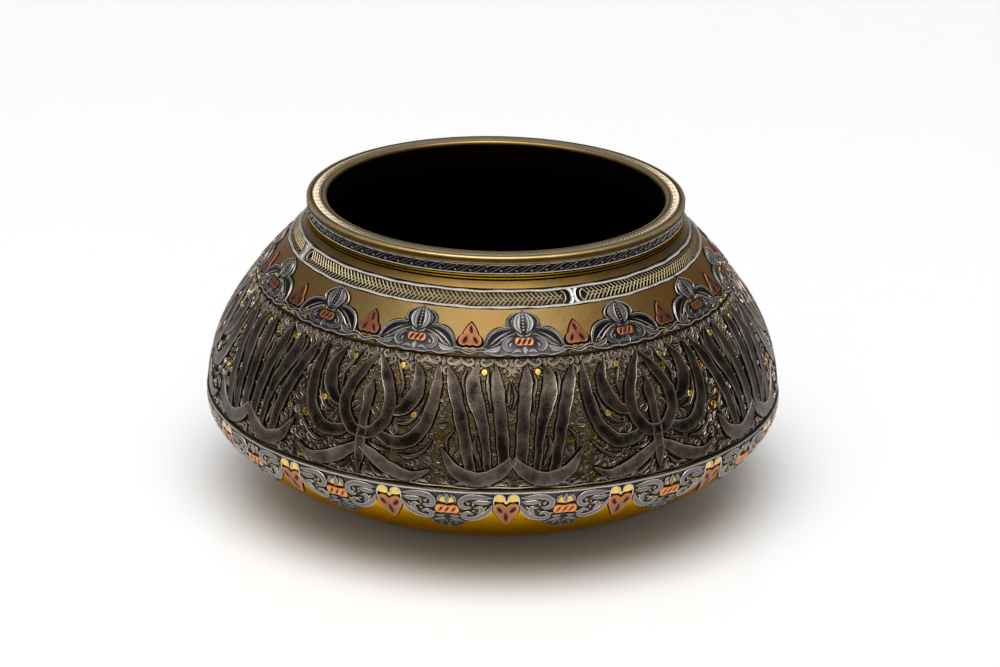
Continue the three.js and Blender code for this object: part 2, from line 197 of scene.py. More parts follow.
# A slab is a sheet with narrower and less worn rims
SLAB = np.array(
    [[-1, 0, 0], [-1, 0.6, 0.2], [-0.95, 1, 0.75], [-0.8, 0.9, 0.16], [-0.3, 0.84, 0],
     [0.3, 0.84, 0], [0.8, 0.9, 0.16], [0.95, 1, 0.75], [1, 0.6, 0.2], [1, 0, 0]]
)
WIRE = np.array([[-1, 0, 0.2], [-0.7, 0.72, 0.75], [0, 1, 1], [0.7, 0.72, 0.75], [1, 0, 0.2]])
RIDGE = np.array([[-1, 0, 0.2], [0, 1, 1], [1, 0, 0.2]])
FLAT = np.array([[-1, 0, 0], [-0.96, 1, 0], [0.96, 1, 0], [1, 0, 0]])

# Rings of a plate, from its rim inwards: [share of the outline, height, brightness]. A boss's
# height is a share, the others' is in mm.
BOSS = np.array([[1, 0, 0.1], [0.97, 0.6, 0.6], [0.8, 0.95, 0.9], [0.45, 1, 0.2]])
CARTOUCHE = np.array(
    [[1, 0, 0], [0.97, 0.5, 0.4], [0.88, 0.6, 0.9], [0.76, 0.6, 0.7], [0.64, 0.59, 0.7],
     [0.5, 0.58, 0.65], [0.36, 0.58, 0.6], [0.22, 0.57, 0.6], [0.1, 0.57, 0.6]]
)
BED = np.array([[1, 0, 0], [0.985, 0.42, 0.1], [0.5, 0.42, 0]])


def spline(a, b, c, d, t):
    """Catmull-Rom span from b to c: a cubic whose end slopes are half of c - a and half of d - b."""
    return 0.5 * (2 * b + (c - a) * t + (2 * a - 5 * b + 4 * c - d) * t**2 + (3 * b - a - 3 * c + d) * t**3)


def smooth_path(points, step):
    """An open spline through the points, with a station about every step."""
    knots = np.asarray(points, float)
    knots = np.vstack([2 * knots[0] - knots[1], knots, 2 * knots[-1] - knots[-2]])
    spans = len(knots) - 3
    total = np.linalg.norm(np.diff(knots[1:-1, :2], axis=0), axis=1).sum()
    place = np.linspace(0, spans, max(3, math.ceil(total / step) + 1))
    first = np.minimum(place.astype(int), spans - 1)
    return spline(*(knots[first + i] for i in range(4)), (place - first)[:, None])


def closed_curve(points, steps):
    """A closed spline through the points, with so many steps to a span."""
    knots = np.asarray(points, float)
    t = (np.arange(steps) / steps)[None, :, None]
    return spline(*(np.roll(knots, 1 - i, axis=0)[:, None, :] for i in range(4)), t).reshape(-1, 2)


def mirrored(half):
    """A closed outline, counter-clockwise, from its right half given top to bottom."""
    left = [[-x, y] for x, y in half if x > 0]
    return np.array(left + half[::-1], float)


def circle(sides):
    """Points round the unit circle."""
    turn = np.linspace(0, TURN, sides, endpoint=False)[:, None]
    return np.hstack([np.cos(turn), np.sin(turn)])


def winding(centre, radius, start, turns, loss, share):
    """A spiral: the radius falls evenly by the loss, as a share of it, over the given turns."""
    turn = start + turns * TURN * share
    reach = radius * (1 - loss * share)
    return np.stack([np.cos(turn), np.sin(turn)], axis=1) * reach[:, None] + centre


def grid_faces(rows, columns, wrap_rows, wrap_columns):
    """Four-cornered faces between the rows and columns of a grid of points."""
    i = np.arange(rows if wrap_rows else rows - 1)[:, None]
    j = np.arange(columns if wrap_columns else columns - 1)[None, :]
    below, right = (i + 1) % rows, (j + 1) % columns
    corners = [i * columns + j, i * columns + right, below * columns + right, below * columns + j]
    return np.stack([c.ravel() for c in np.broadcast_arrays(*corners)], axis=1)


class Relief:
    """Closed forms drawn flat: points [x, y, h] in millimetres, their brightness and their faces."""

    def __init__(self):
        self.points = np.empty((0, 3))
        self.worn = np.empty(0)
        self.faces = []

    def add(self, points, worn, *faces):
        self.faces += [f + len(self.points) for f in faces]
        self.points = np.vstack([self.points, points])
        self.worn = np.concatenate([self.worn, worn])

    def strip(self, path, width, height, tone=0.0, section=SHEET, lift=0.0):
        """A section carried along a path: each point moves along the path's left normal and up."""
        path = np.asarray(path, float)
        width = np.broadcast_to(width, len(path))
        along = np.gradient(path, axis=0)
        along /= np.linalg.norm(along, axis=1)[:, None]
        left = np.stack([-along[:, 1], along[:, 0]], axis=1)
        reach = -section[None, :, 0] * width[:, None] / 2
        flat = path[:, None, :] + left[:, None, :] * reach[:, :, None]
        rise = np.broadcast_to(section[:, 1] * height + lift, reach.shape)
        points = np.concatenate([flat, rise[:, :, None]], axis=2).reshape(-1, 3)
        worn = np.tile(tone + (1 - tone) * section[:, 2], len(path))
        around = len(section)
        j = np.arange(1, around - 1)
        last = (len(path) - 1) * around
        self.add(
            points,
            worn,
            grid_faces(len(path), around, False, True),
            np.stack([0 * j, j + 1, j], axis=1),
            np.stack([0 * j, j, j + 1], axis=1) + last,
        )

    def stroke(self, points, height, tone=0.0, section=SHEET, lift=0.0, step=1.0):
        """A strip along the smooth line through [x, y, width] points, swelling and tapering."""
        line = smooth_path(points, step)
        self.strip(line[:, :2], np.maximum(line[:, 2], NARROWEST), height, tone, section, lift)

    def strokes(self, *rows):
        """Several strokes, each with the points and sizes that stroke takes."""
        for row in rows:
            self.stroke(*row)

    def band(self, skin, run, wobble, width, height, tone=0.0, lift=0.0, stations=480):
        """A wire all round the bowl at a run, whose line and width waver as slow sines."""
        x = np.linspace(0, TURN * skin.radius(run), stations, endpoint=False)
        turn = x / skin.radius(run)
        y = wobble * (np.sin(17 * turn) + 0.8 * np.sin(41 * turn + run))
        width = width * (1 + 0.1 * np.sin(29 * turn) + 0.08 * np.sin(67 * turn))
        flat = Relief()
        flat.strip(np.stack([x, y], axis=1), width, height, tone, WIRE, lift)
        self.add(flat.points, flat.worn, grid_faces(stations, len(WIRE), True, True))

    def spiral(self, centre, radius, start, turns, width, height, lift=0.0, tone=0.3, stations=16):
        """A ridge that winds in to a quarter of its radius and half of its width."""
        share = np.linspace(0, 1, stations)
        path = winding(centre, radius, start, turns, 0.75, share)
        self.strip(path, width * (1 - 0.5 * share), height, tone, RIDGE, lift)

    def swirl(self, tail, centre, radius, start, turns, width, height, tone, lift):
        """A comma: a tail of [x, y, width] points that runs into a spiral, which winds in to about
        a third of its radius and ends in a round drop."""
        share = np.linspace(0, 1, 9)
        widths = width * (1 - 0.35 * share) * np.where(share == 1, 0.8, 1)
        head = np.column_stack([winding(centre, radius, start, turns, 0.62, share), widths])
        self.stroke(np.vstack([tail, head]), height, tone, SHEET, lift, 0.8)

    def plate(self, outline, rings, tone=0.0, lift=0.0, centre=None, dents=()):
        """A plate inside a closed outline: rings of it drawn in towards the centre, each
        [share of the outline, height, brightness], then dents that sink as a leaning bell curve,
        each [x, y, half width, half length, depth, lean]."""
        outline = np.asarray(outline, float)
        centre = outline.mean(axis=0) if centre is None else np.asarray(centre, float)
        rings = np.asarray(rings, float)
        flat = centre + (outline - centre)[None] * rings[:, 0, None, None]
        sides = len(outline)
        points = np.column_stack([flat.reshape(-1, 2), np.repeat(rings[:, 1], sides)])
        points = np.vstack([points, [*centre, rings[-1, 1]], [*centre, rings[0, 1]]])
        worn = tone + (1 - tone) * np.concatenate([np.repeat(rings[:, 2], sides), [rings[-1, 2], 0]])
        for x, y, across, along, depth, lean in dents:
            east, north = points[:, 0] - x, points[:, 1] - y
            wide = east * math.cos(lean) + north * math.sin(lean)
            tall = north * math.cos(lean) - east * math.sin(lean)
            bell = np.exp(-((wide / across) ** 2) - (tall / along) ** 2)
            bell[:sides] = 0
            bell[-1] = 0
            points[:, 2] -= depth * bell
            worn = worn - DENT_DARKNESS * bell
        points[:, 2] += lift
        j = np.arange(sides)
        after = (j + 1) % sides
        top = (len(rings) - 1) * sides
        peak = np.full(sides, len(points) - 2)
        self.add(
            points,
            worn,
            grid_faces(len(rings), sides, False, True),
            np.stack([top + j, top + after, peak], axis=1),
            np.stack([peak + 1, after, j], axis=1),
        )

    def disc(self, centre, radius, height, tone=0.0, lift=0.0, sides=12):
        """A round plate with a worn rim and a slightly domed face."""
        self.plate(circle(sides) * radius + centre, BOSS * [1, height, 1], tone, lift, centre)

    def mirror(self):
        """Adds the mirror image of all that is drawn so far."""
        faces = [f[:, ::-1] for f in self.faces]
        self.add(self.points * [-1, 1, 1], self.worn, *faces)

    def join(self, other, shift=(0, 0, 0)):
        self.add(other.points + shift, other.worn, *other.faces)

    def repeated(self, skin, turns, run, radius=None):
        """The relief laid on the skin at each turn: points in the round, brightness and faces."""
        turns = np.atleast_1d(turns)
        radius = radius or skin.radius(run)
        x, y, h = self.points.T
        points = skin.wrap(turns[:, None] + x / radius, run - y, np.broadcast_to(h, (len(turns), len(h))))
        return points.reshape(-1, 3), *copies(self, len(turns))


def copies(relief, times):
    """Brightness and faces of so many copies of a relief, one after another."""
    shift = np.arange(times)[:, None, None] * len(relief.points)
    faces = [(f[None] + shift).reshape(-1, f.shape[1]) for f in relief.faces]
    return np.tile(relief.worn, times), faces


def merged(*laid):
    """Several [points, brightness, faces] as one."""
    points, worn, faces = zip(*laid)
    before = np.cumsum([0] + [len(p) for p in points])
    faces = [each + shift for shift, some in zip(before, faces) for each in some]
    return np.vstack(points), np.concatenate(worn), faces


def add_piece(name, laid, metals, nodes=(), metal_rows=None, is_smooth=False):
    """Makes a mesh object from [points in metres, brightness, faces] and fits it into the frame."""
    points, worn, faces = laid
    mesh = bpy.data.meshes.new(name)
    mesh.from_pydata(points.tolist(), [], [corner for f in faces for corner in f.tolist()])
    attribute = mesh.attributes.new("worn", "FLOAT", "POINT")
    attribute.data.foreach_set("value", np.ascontiguousarray(worn, np.float32))
    for each in metals:
        mesh.materials.append(bpy.data.materials[each])
    if metal_rows is not None:
        mesh.polygons.foreach_set("material_index", np.ascontiguousarray(metal_rows, np.int32))
    if is_smooth:
        mesh.polygons.foreach_set("use_smooth", np.ones(len(mesh.polygons), bool))
        mesh.set_sharp_from_angle(angle=SHARP_EDGE)
    mesh.update()
    piece = bpy.data.objects.new(name, mesh)
    bpy.context.scene.collection.objects.link(piece)
    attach(piece, "root")
    if nodes:
        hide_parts(*nodes)
    return piece


def turned(section, segments):
    """A section [radius, height] spun about the axis: points, and faces with the axis closed by
    fans where the section starts and ends on it, else closed on itself."""
    section = np.asarray(section, float)
    on_axis = section[0, 0] == 0
    rim = section[1:-1] if on_axis else section
    turn = np.linspace(0, TURN, segments, endpoint=False)
    r, z = rim[:, 0, None], rim[:, 1, None]
    points = np.stack([r * np.sin(turn), -r * np.cos(turn), z + 0 * turn], axis=-1).reshape(-1, 3)
    faces = [grid_faces(len(rim), segments, not on_axis, True)]
    if on_axis:
        j = np.arange(segments)
        after = (j + 1) % segments
        low = np.full(segments, len(points))
        last = (len(rim) - 1) * segments
        points = np.vstack([points, [0, 0, section[0, 1]], [0, 0, section[-1, 1]]])
        faces.append(np.stack([low, after, j], axis=1))
        faces.append(np.stack([low + 1, last + j, last + after], axis=1))
    return points * MM, faces


def on_ring(relief, count_round, radius, height, is_flat=False):
    """So many copies of a relief bent round the axis, evenly spaced: y runs up an upright band, or
    inwards on a flat one."""
    x, y, h = relief.points.T
    turns = (np.arange(count_round) * TURN / count_round)[:, None] + x / radius
    r, z = (radius - y, height + h) if is_flat else (radius + h, height + y)
    points = np.stack([r * np.sin(turns), -r * np.cos(turns), np.broadcast_to(z, turns.shape)], axis=-1)
    return points.reshape(-1, 3) * MM, *copies(relief, count_round)


def hand_cut(relief, amount):
    """Moves the outlines by slow sines of their place, as a graver strays from the drawn line."""
    x, y = relief.points[:, 0].copy(), relief.points[:, 1].copy()
    relief.points[:, 0] += amount * (np.sin(0.62 * y + 0.31 * x) + 0.6 * np.sin(1.7 * y - 0.4 * x))
    relief.points[:, 1] += amount * (np.sin(0.54 * x - 0.23 * y) + 0.5 * np.sin(1.5 * x + 0.5 * y))


def side_shade(turn, lean):
    """How much painted shade darkens the sides and the back against the front: one less the cosine
    of the turn, which leans a little so that the left is lighter than the right."""
    return 1 - np.cos(turn + lean)


def in_mm(*values):
    return [value / MM for value in values]


def add_node(tree, kind, settings=None, inputs=None):
    """Adds a node, sets its own settings, and sets or links its inputs."""
    made = tree.nodes.new(kind)
    for name, value in (settings or {}).items():
        setattr(made, name, value)
    for socket, value in (inputs or {}).items():
        if isinstance(value, bpy.types.NodeSocket):
            tree.links.new(value, made.inputs[socket])
        else:
            made.inputs[socket].default_value = value
    return made


def cleared(owner):
    """The node tree of a material or a world, turned on and emptied."""
    owner.use_nodes = True
    owner.node_tree.nodes.clear()
    return owner.node_tree


def metal(name, colours, roughness, cloud, grain, bump, streak=1.0, edge=(1, 1, 1)):
    """A metal whose colour runs from film to bare metal by the piece's worn attribute, which holds
    wear and painted light and shade.

    colours: [position, linear colour or sRGB hex] from the deepest film to the brightest wear.
    roughness: of the film and of the bare metal. cloud: [size in mm, strength] of the film's
    patches. grain: [size in mm, strength] of the fine mottling. bump: [size in mm, depth in mm] of
    dents. streak: how much longer round the bowl than up it the grain is drawn. edge: linear tint
    of what the metal reflects at a grazing angle.
    """
    material = bpy.data.materials.new(name)
    tree = cleared(material)
    place = add_node(tree, "ShaderNodeTexCoord").outputs["Object"]
    worn = add_node(tree, "ShaderNodeAttribute", {"attribute_name": "worn"}).outputs["Fac"]
    stretched = {"Vector": place, "Scale": (1, 1, streak)}
    squeezed = add_node(tree, "ShaderNodeMapping", inputs=stretched).outputs["Vector"]
    clouds, grains, dents = (
        add_node(tree, "ShaderNodeTexNoise", inputs=settings).outputs["Fac"]
        for settings in (
            {"Vector": place, "Scale": 1 / (cloud[0] * MM), "Detail": 4.0, "Roughness": 0.6},
            {"Vector": squeezed, "Scale": 1 / (grain[0] * MM), "Detail": 3.0, "Roughness": 0.7},
            {"Vector": place, "Scale": 1 / (bump[0] * MM), "Detail": 2.0},
        )
    )
    level = worn
    for settings, inputs in (
        ({"operation": "MULTIPLY_ADD"}, {0: clouds, 1: cloud[1]}),
        ({"operation": "MULTIPLY_ADD"}, {0: grains, 1: grain[1]}),
    ):
        level = add_node(tree, "ShaderNodeMath", settings, {**inputs, 2: level}).outputs[0]
    centred = {0: level, 1: (cloud[1] + grain[1]) / 2}
    level = add_node(
        tree, "ShaderNodeMath", {"operation": "SUBTRACT", "use_clamp": True}, centred
    ).outputs[0]
    ramp = add_node(tree, "ShaderNodeValToRGB", inputs={"Fac": level})
    stops = ramp.color_ramp.elements
    while len(stops) < len(colours):
        stops.new(0.5)
    for stop, (position, value) in zip(stops, colours):
        stop.position = position
        stop.color = (*(linear(value) if isinstance(value, str) else value), 1)
    spread = {"Value": level, "To Min": roughness[0], "To Max": roughness[1]}
    shine = add_node(tree, "ShaderNodeMapRange", inputs=spread).outputs["Result"]
    depth = {"Height": dents, "Distance": bump[1] * MM, "Strength": 1.0}
    normal = add_node(tree, "ShaderNodeBump", inputs=depth).outputs["Normal"]
    surface = {
        "Base Color": ramp.outputs["Color"],
        "Metallic": 1.0,
        "Roughness": shine,
        "Specular Tint": (*edge, 1),
        "Normal": normal,
    }
    shader = add_node(tree, "ShaderNodeBsdfPrincipled", inputs=surface)
    add_node(tree, "ShaderNodeOutputMaterial", inputs={"Surface": shader.outputs["BSDF"]})


class BOWL_OT_materials(bpy.types.Operator):
    """Makes the bowl's metals"""

    bl_idname = "bowl.materials"
    bl_label = "Materials"

    def execute(self, context):
        hues = context.scene.bowl_colours
        brass, tarnish, bright = hues.brass[:], hues.brass_tarnish[:], hues.brass_bright[:]
        olive, soot, silver = hues.ring_brass[:], hues.soot[:], hues.silver[:]
        film, dull = hues.silver_film[:], hues.silver_tarnish[:]
        copper, rosy, burnt = hues.copper[:], hues.copper_bright[:], hues.copper_tarnish[:]
        # Brass raised with the hammer and polished: broad soft dents, a warm thin film in patches
        metal("hammered_brass", [(0, soot), (0.45, tarnish), (0.85, brass), (1, bright)],
              (0.54, 0.45), (26, 0.42), (1.2, 0.2), (9, 0.3))
        # Brass under a thicker, glossy film, low on the body and on the mouth ring's beads: a deep
        # yellow over brown, which stays yellow at a grazing angle; on the haunch the brown that deepens
        # towards the base is painted shade
        metal("deep_brass", [(0, soot), (0.3, "72540A"), (0.75, "C0982C"), (1, "F0CC58")],
              (0.3, 0.22), (26, 0.3), (1.2, 0.2), (9, 0.3), edge=linear("E4C068"))
        # Brass turned and handled: an olive film, bright where hands wear the edges, with a painted
        # highlight on the lip's rounded top
        metal("turned_brass", [(0, soot), (0.3, "4E3E20"), (0.65, olive), (1, bright)],
              (0.5, 0.36), (12, 0.3), (0.8, 0.25), (2.5, 0.06), 6.0)
        # Brass specks between the silver: yellow where they catch the light
        metal("punched_brass", [(0, soot), (0.4, "6E5420"), (0.8, "B8913C"), (1, "E8C868")],
              (0.5, 0.27), (6, 0.5), (0.8, 0.3), (1.1, 0.1))
        # Brass engraved with crossing lines: pale worn ridges over dark brown cuts
        metal("engraved_brass", [(0, soot), (0.35, "5A4A32"), (0.75, "B4A580"), (1, "E6DEC4")],
              (0.52, 0.42), (7, 0.25), (0.7, 0.25), (1.0, 0.08))
        # Brass ground left rough from the punch and filled with black: almost no shine
        metal("blackened_brass", [(0, soot), (0.7, "3A2E1C"), (1, "6A491A")],
              (0.7, 0.45), (8, 0.3), (0.8, 0.5), (0.9, 0.3))
        # Brass ground pricked all over between the scrolls: olive points out of black
        metal("pricked_brass", [(0, soot), (0.35, "3C3323"), (0.65, "6E6144"), (1, "A89466")],
              (0.6, 0.36), (7, 0.4), (0.75, 1.1), (0.8, 0.35))
        # Inside the bowl: nearly black and dull
        metal("dark_inside_brass", [(0, "1E170F"), (1, "403222")], (0.6, 0.5), (20, 0.5), (2, 0.4), (4, 0.1))
        # Silver sheet long unpolished: brown-black film, thin bright edges of wear and painted highlight
        metal("tarnished_silver", [(0, "1C1612"), (0.2, dull), (0.62, "8A7E72"), (1, silver)],
              (0.38, 0.34), (8, 0.75), (0.65, 0.35), (1.3, 0.08))
        # Silver sheet with a thinner film: grey with pale edges
        metal("grey_silver", [(0, "171618"), (0.3, film), (0.7, "96908A"), (1, silver)],
              (0.44, 0.33), (9, 0.3), (0.7, 0.2), (1.2, 0.06))
        # Silver strip in the lip, rubbed by hands down to a beige close to the brass
        metal("handled_silver", [(0, "2A231A"), (0.35, "A08F74"), (0.8, "D8C6A8"), (1, "EADFC8")],
              (0.5, 0.32), (10, 0.3), (0.7, 0.35), (1.2, 0.06))
        # Silver wire rubbed bright
        metal("silver_wire", [(0, "2A2622"), (0.4, "8E857A"), (1, "F2EADC")],
              (0.46, 0.34), (7, 0.5), (0.8, 0.4), (1.5, 0.05))
        # Copper sheet, engraved and rubbed: rosy faces, dark dents
        metal("annealed_copper", [(0, burnt), (0.35, copper), (1, rosy)],
              (0.5, 0.3), (8, 0.25), (0.8, 0.25), (1.4, 0.08))
        return {"FINISHED"}


class BOWL_OT_body(bpy.types.Operator):
    """Raises the body: a section that runs down the outer skin and back up the inner one, turned"""

    bl_idname = "bowl.body"
    bl_label = "Body"

    METALS = ["hammered_brass", "blackened_brass", "dark_inside_brass", "pricked_brass", "deep_brass",
              "turned_brass"]
    HAMMERED, BLACK, SOOTY, PRICKED, DEEP, TURNED = range(6)
    DARK_LINE = 0.6  # width of the black line where the skin steps down to the band's ground
    SHADE_FADE = 17  # painted shade on the haunch: darker towards the base, lightening fastest in this many mm below the band
    SPIGOT_OUTER, SPIGOT_INNER, SPIGOT_RISE, NECK_WALL = 82.2, 80.0, 6.4, 1.6

    def execute(self, context):
        sizes = context.scene.bowl_sizes
        skin = Skin(sizes)
        wall, ground, channel = in_mm(sizes.wall, sizes.ground_depth, sizes.channel_depth)
        channel_start, channel_end, band_start, band_end = in_mm(
            sizes.channel_start, sizes.channel_end, sizes.band_start, sizes.band_end
        )
        shade_fade_run, line = band_end + self.SHADE_FADE, self.DARK_LINE
        seat = skin.point(SEAT_RUN)[1]
        top = seat + self.SPIGOT_RISE

        def stretch(start, end, lift, step):
            runs = np.linspace(start, end, max(2, math.ceil(abs(end - start) / step) + 1))
            return np.stack(skin.point(runs, lift), axis=1)

        # Each stretch of the section: its points, which metal, and how bright its two ends are. The haunch
        # is painted darker towards the base, as painted shade, and the band's ground lighter towards its
        # top, as painted light; the cove is darker towards the ring's seat
        parts = [
            (stretch(skin.length, shade_fade_run, 0, 1.6), self.DEEP, 0.28, 0.62),
            (stretch(shade_fade_run, band_end + line, 0, 1.6), self.DEEP, 0.62, 1.05),
            (stretch(band_end + line, band_end, 0, 0.6), self.BLACK, 0.25, 0.25),
            (stretch(band_end, band_start, -ground, 2.2), self.PRICKED, 0.35, 0.5),
            (stretch(band_start, band_start - line, 0, 0.6), self.BLACK, 0.25, 0.25),
            (stretch(band_start - line, channel_end, 0, 1.6), self.HAMMERED, 0.8, 0.8),
            (stretch(channel_end, channel_start, -channel, 3), self.BLACK, 0.25, 0.25),
            (stretch(channel_start, SEAT_RUN, 0, 0.8), self.TURNED, 0.59, 0.38),
            ([[self.SPIGOT_OUTER, seat], [self.SPIGOT_OUTER, top]], self.HAMMERED, 0.5, 0.5),
            ([[self.SPIGOT_INNER, top], [self.SPIGOT_INNER, seat - self.NECK_WALL]], self.SOOTY, 0, 0),
            (stretch(SEAT_RUN + self.NECK_WALL, skin.length, -wall, 4), self.SOOTY, 0, 0),
        ]
        section = np.vstack([points for points, *_ in parts])
        looks = np.concatenate([np.full(len(points), look) for points, look, *_ in parts])
        worn = np.concatenate([np.linspace(*ends, len(points)) for points, _, *ends in parts])
        apart = np.append(True, np.linalg.norm(np.diff(section, axis=0), axis=1) > 1e-3)
        section, looks, worn = section[apart], looks[apart], worn[apart]
        points, faces = turned(np.vstack([[0, 0], section, [0, section[-1, 1]]]), ROUND)
        turn = np.tile(np.linspace(0, TURN, ROUND, endpoint=False), len(section))
        depth = np.repeat(np.arange(len(section)) * 1.7, ROUND)
        # The hammer's traces: three slow waves round the bowl and along the section, 0.02 mm each
        wave = np.sin(9 * turn + 0.16 * depth) + np.sin(23 * turn - 0.21 * depth) + np.sin(14 * turn + 1)
        points[: len(turn), :2] *= 1 - 0.00016 * (1 + wave / 3)[:, None]
        # Painted shade: the sides and the back are painted darker than the front, and the cove least; film
        # here is how strong that painted shade is
        film = np.repeat(np.where(looks == self.TURNED, 0.06, 0.34), ROUND)
        values = np.repeat(worn, ROUND) * (1 - film * np.minimum(side_shade(turn, 0.25), 1))
        values = np.concatenate([values, [0.2, 0]])
        fans = [np.full(ROUND, self.HAMMERED), np.full(ROUND, self.SOOTY)]
        rows = np.concatenate([np.repeat(looks[1:], ROUND), *fans])
        laid = points, values, faces
        add_piece("body_shell", laid, self.METALS, ["bowl_body"], rows, is_smooth=True)
        return {"FINISHED"}


class BOWL_OT_mouth(bpy.types.Operator):
    """Turns the mouth ring, its lip strip and its braided collar"""

    bl_idname = "bowl.mouth"
    bl_label = "Mouth ring"

    FOOT, CHANNEL_LOW, CHANNEL_HIGH, TOP = 130.52, 133.12, 137.92, 141.42
    CHANNEL_RADIUS = 84.9
    # The ring's section above its channel, over the lip and down the inside: radius, height, brightness,
    # which is wear with a painted highlight on the lip's rounded top, and darker down the inside
    MOULDING = np.array(
        [[85.4, 137.8, 0.3], [86.0, 137.86, 0.55], [86.32, 138.15, 0.7], [86.3, 138.5, 0.45],
         [86.02, 138.8, 0.3], [85.9, 139.3, 0.25], [85.96, 139.8, 0.3], [86.2, 140.1, 0.4],
         [86.38, 140.4, 0.6], [86.3, 140.85, 0.85], [85.9, 141.2, 1.0], [85.3, 141.38, 0.85],
         [84.6, TOP, 0.55], [84.12, 141.34, 0.4], [84.1, 140.52, 0.1], [79.5, 140.52, 0.1],
         [79.48, 141.3, 0.4], [79.1, TOP, 0.75], [78.5, 141.36, 0.8], [77.85, 141.1, 0.75],
         [77.4, 140.62, 0.5], [77.22, 140, 0.2], [77.2, 139, -0.2], [77.2, 128.32, -0.3],
         [79.7, 128.32, 0], [79.7, 136.92, 0], [82.5, 136.92, 0], [82.5, FOOT, 0]]
    )
    LIP = np.array(
        [[79.8, 140.82, 0.2], [83.8, 140.82, 0.2], [83.8, 141.3, 0.6], [83.5, TOP, 0.85],
         [82.9, 141.36, 0.3], [80.6, 141.36, 0.3], [80.1, TOP, 0.75], [79.8, 141.3, 0.5]]
    )
    TICKS, STRANDS = 260, 80  # round the lip and round the collar

    def execute(self, context):
        # Two beads, each half a flat ellipse that bulges outwards, brightest where it bulges most: wear and
        # a painted highlight
        t = np.linspace(-math.pi / 2, math.pi / 2, 9)
        out, up, bright = 1.28 * np.cos(t), 0.62 * np.sin(t), 0.4 * np.cos(t) ** 2
        beads = [
            np.column_stack([self.CHANNEL_RADIUS + out, self.FOOT + 0.65 + 1.3 * i + up, bright])
            for i in range(2)
        ]
        channel = [
            [self.CHANNEL_RADIUS + 0.3, self.CHANNEL_LOW + 0.05, 0.1],
            [self.CHANNEL_RADIUS, self.CHANNEL_LOW + 0.2, 0.1],
            [self.CHANNEL_RADIUS, self.CHANNEL_HIGH - 0.1, 0.1],
        ]
        section = np.vstack([*beads, channel, self.MOULDING])
        rows = np.repeat(np.arange(len(section)) < 2 * len(t), ROUND)
        metals = ["turned_brass", "deep_brass"]
        laid = self.spun(section)
        add_piece("mouth_ring", laid, metals, ["rim_ring"], rows, is_smooth=True)
        self.lip()
        self.collar()
        return {"FINISHED"}

    @staticmethod
    def spun(section):
        """A section [radius, height, brightness] turned all round."""
        points, faces = turned(section[:, :2], ROUND)
        return points, np.repeat(section[:, 2], ROUND), faces

    def lip(self):
        """A flat ring with engraved ticks: each tick is a ridge laid across the outer half."""
        tick = Relief()
        tick.strokes(
            ([[-0.2, -1.5, 0.26], [0, -0.2, 0.34], [0.25, 1.1, 0.3]], 0.16, 0.55, RIDGE, 0, 1.4),
            ([[1.0, -1.4, 0.24], [1.2, -0.9, 0.3], [1.0, -0.4, 0.24]], 0.14, 0.5, RIDGE, 0, 1),
        )
        laid = merged(self.spun(self.LIP), on_ring(tick, self.TICKS, 81.8, 141.34, True))
        add_piece("lip_strip", laid, ["handled_silver"], ["lip_inlay"])

    def collar(self):
        """A plait of long S-shaped strands, each over the next, between two wires on a turned band."""
        low, high, radius = self.CHANNEL_LOW + 0.1, self.CHANNEL_HIGH - 0.1, self.CHANNEL_RADIUS + 0.1
        path = [[-4.3, -1.5, 0.7], [-2.8, -1.5, 1.1], [0, 0, 1.7], [2.8, 1.5, 1.1], [4.3, 1.5, 0.7]]
        strand = Relief()
        strand.stroke(path, 0.5, -0.1, SHEET, 0.3, 0.9)
        strand.points[:, 2] += 0.05 * strand.points[:, 0]
        strand.disc((2.75, -0.9), 0.5, 0.35, 0.1, 0.35, 8)
        # The band's section: how far off the channel, height, worn
        band = np.array(
            [[0, low, 0], [0.6, low, 0.4], [1.05, low + 0.3, 0.9], [1.05, low + 0.6, 0.9],
             [0.4, low + 0.9, -0.3], [0.35, high - 0.6, -0.3], [0.9, high - 0.4, 0.85],
             [0.9, high - 0.15, 0.85], [0.5, high, 0.3], [0, high, 0]]
        ) + [radius, 0, 0]
        plait = on_ring(strand, self.STRANDS, radius, (low + high) / 2 + 0.15)
        laid = merged(self.spun(band), plait)
        add_piece("collar_rope", laid, ["grey_silver"], ["collar_braid"])


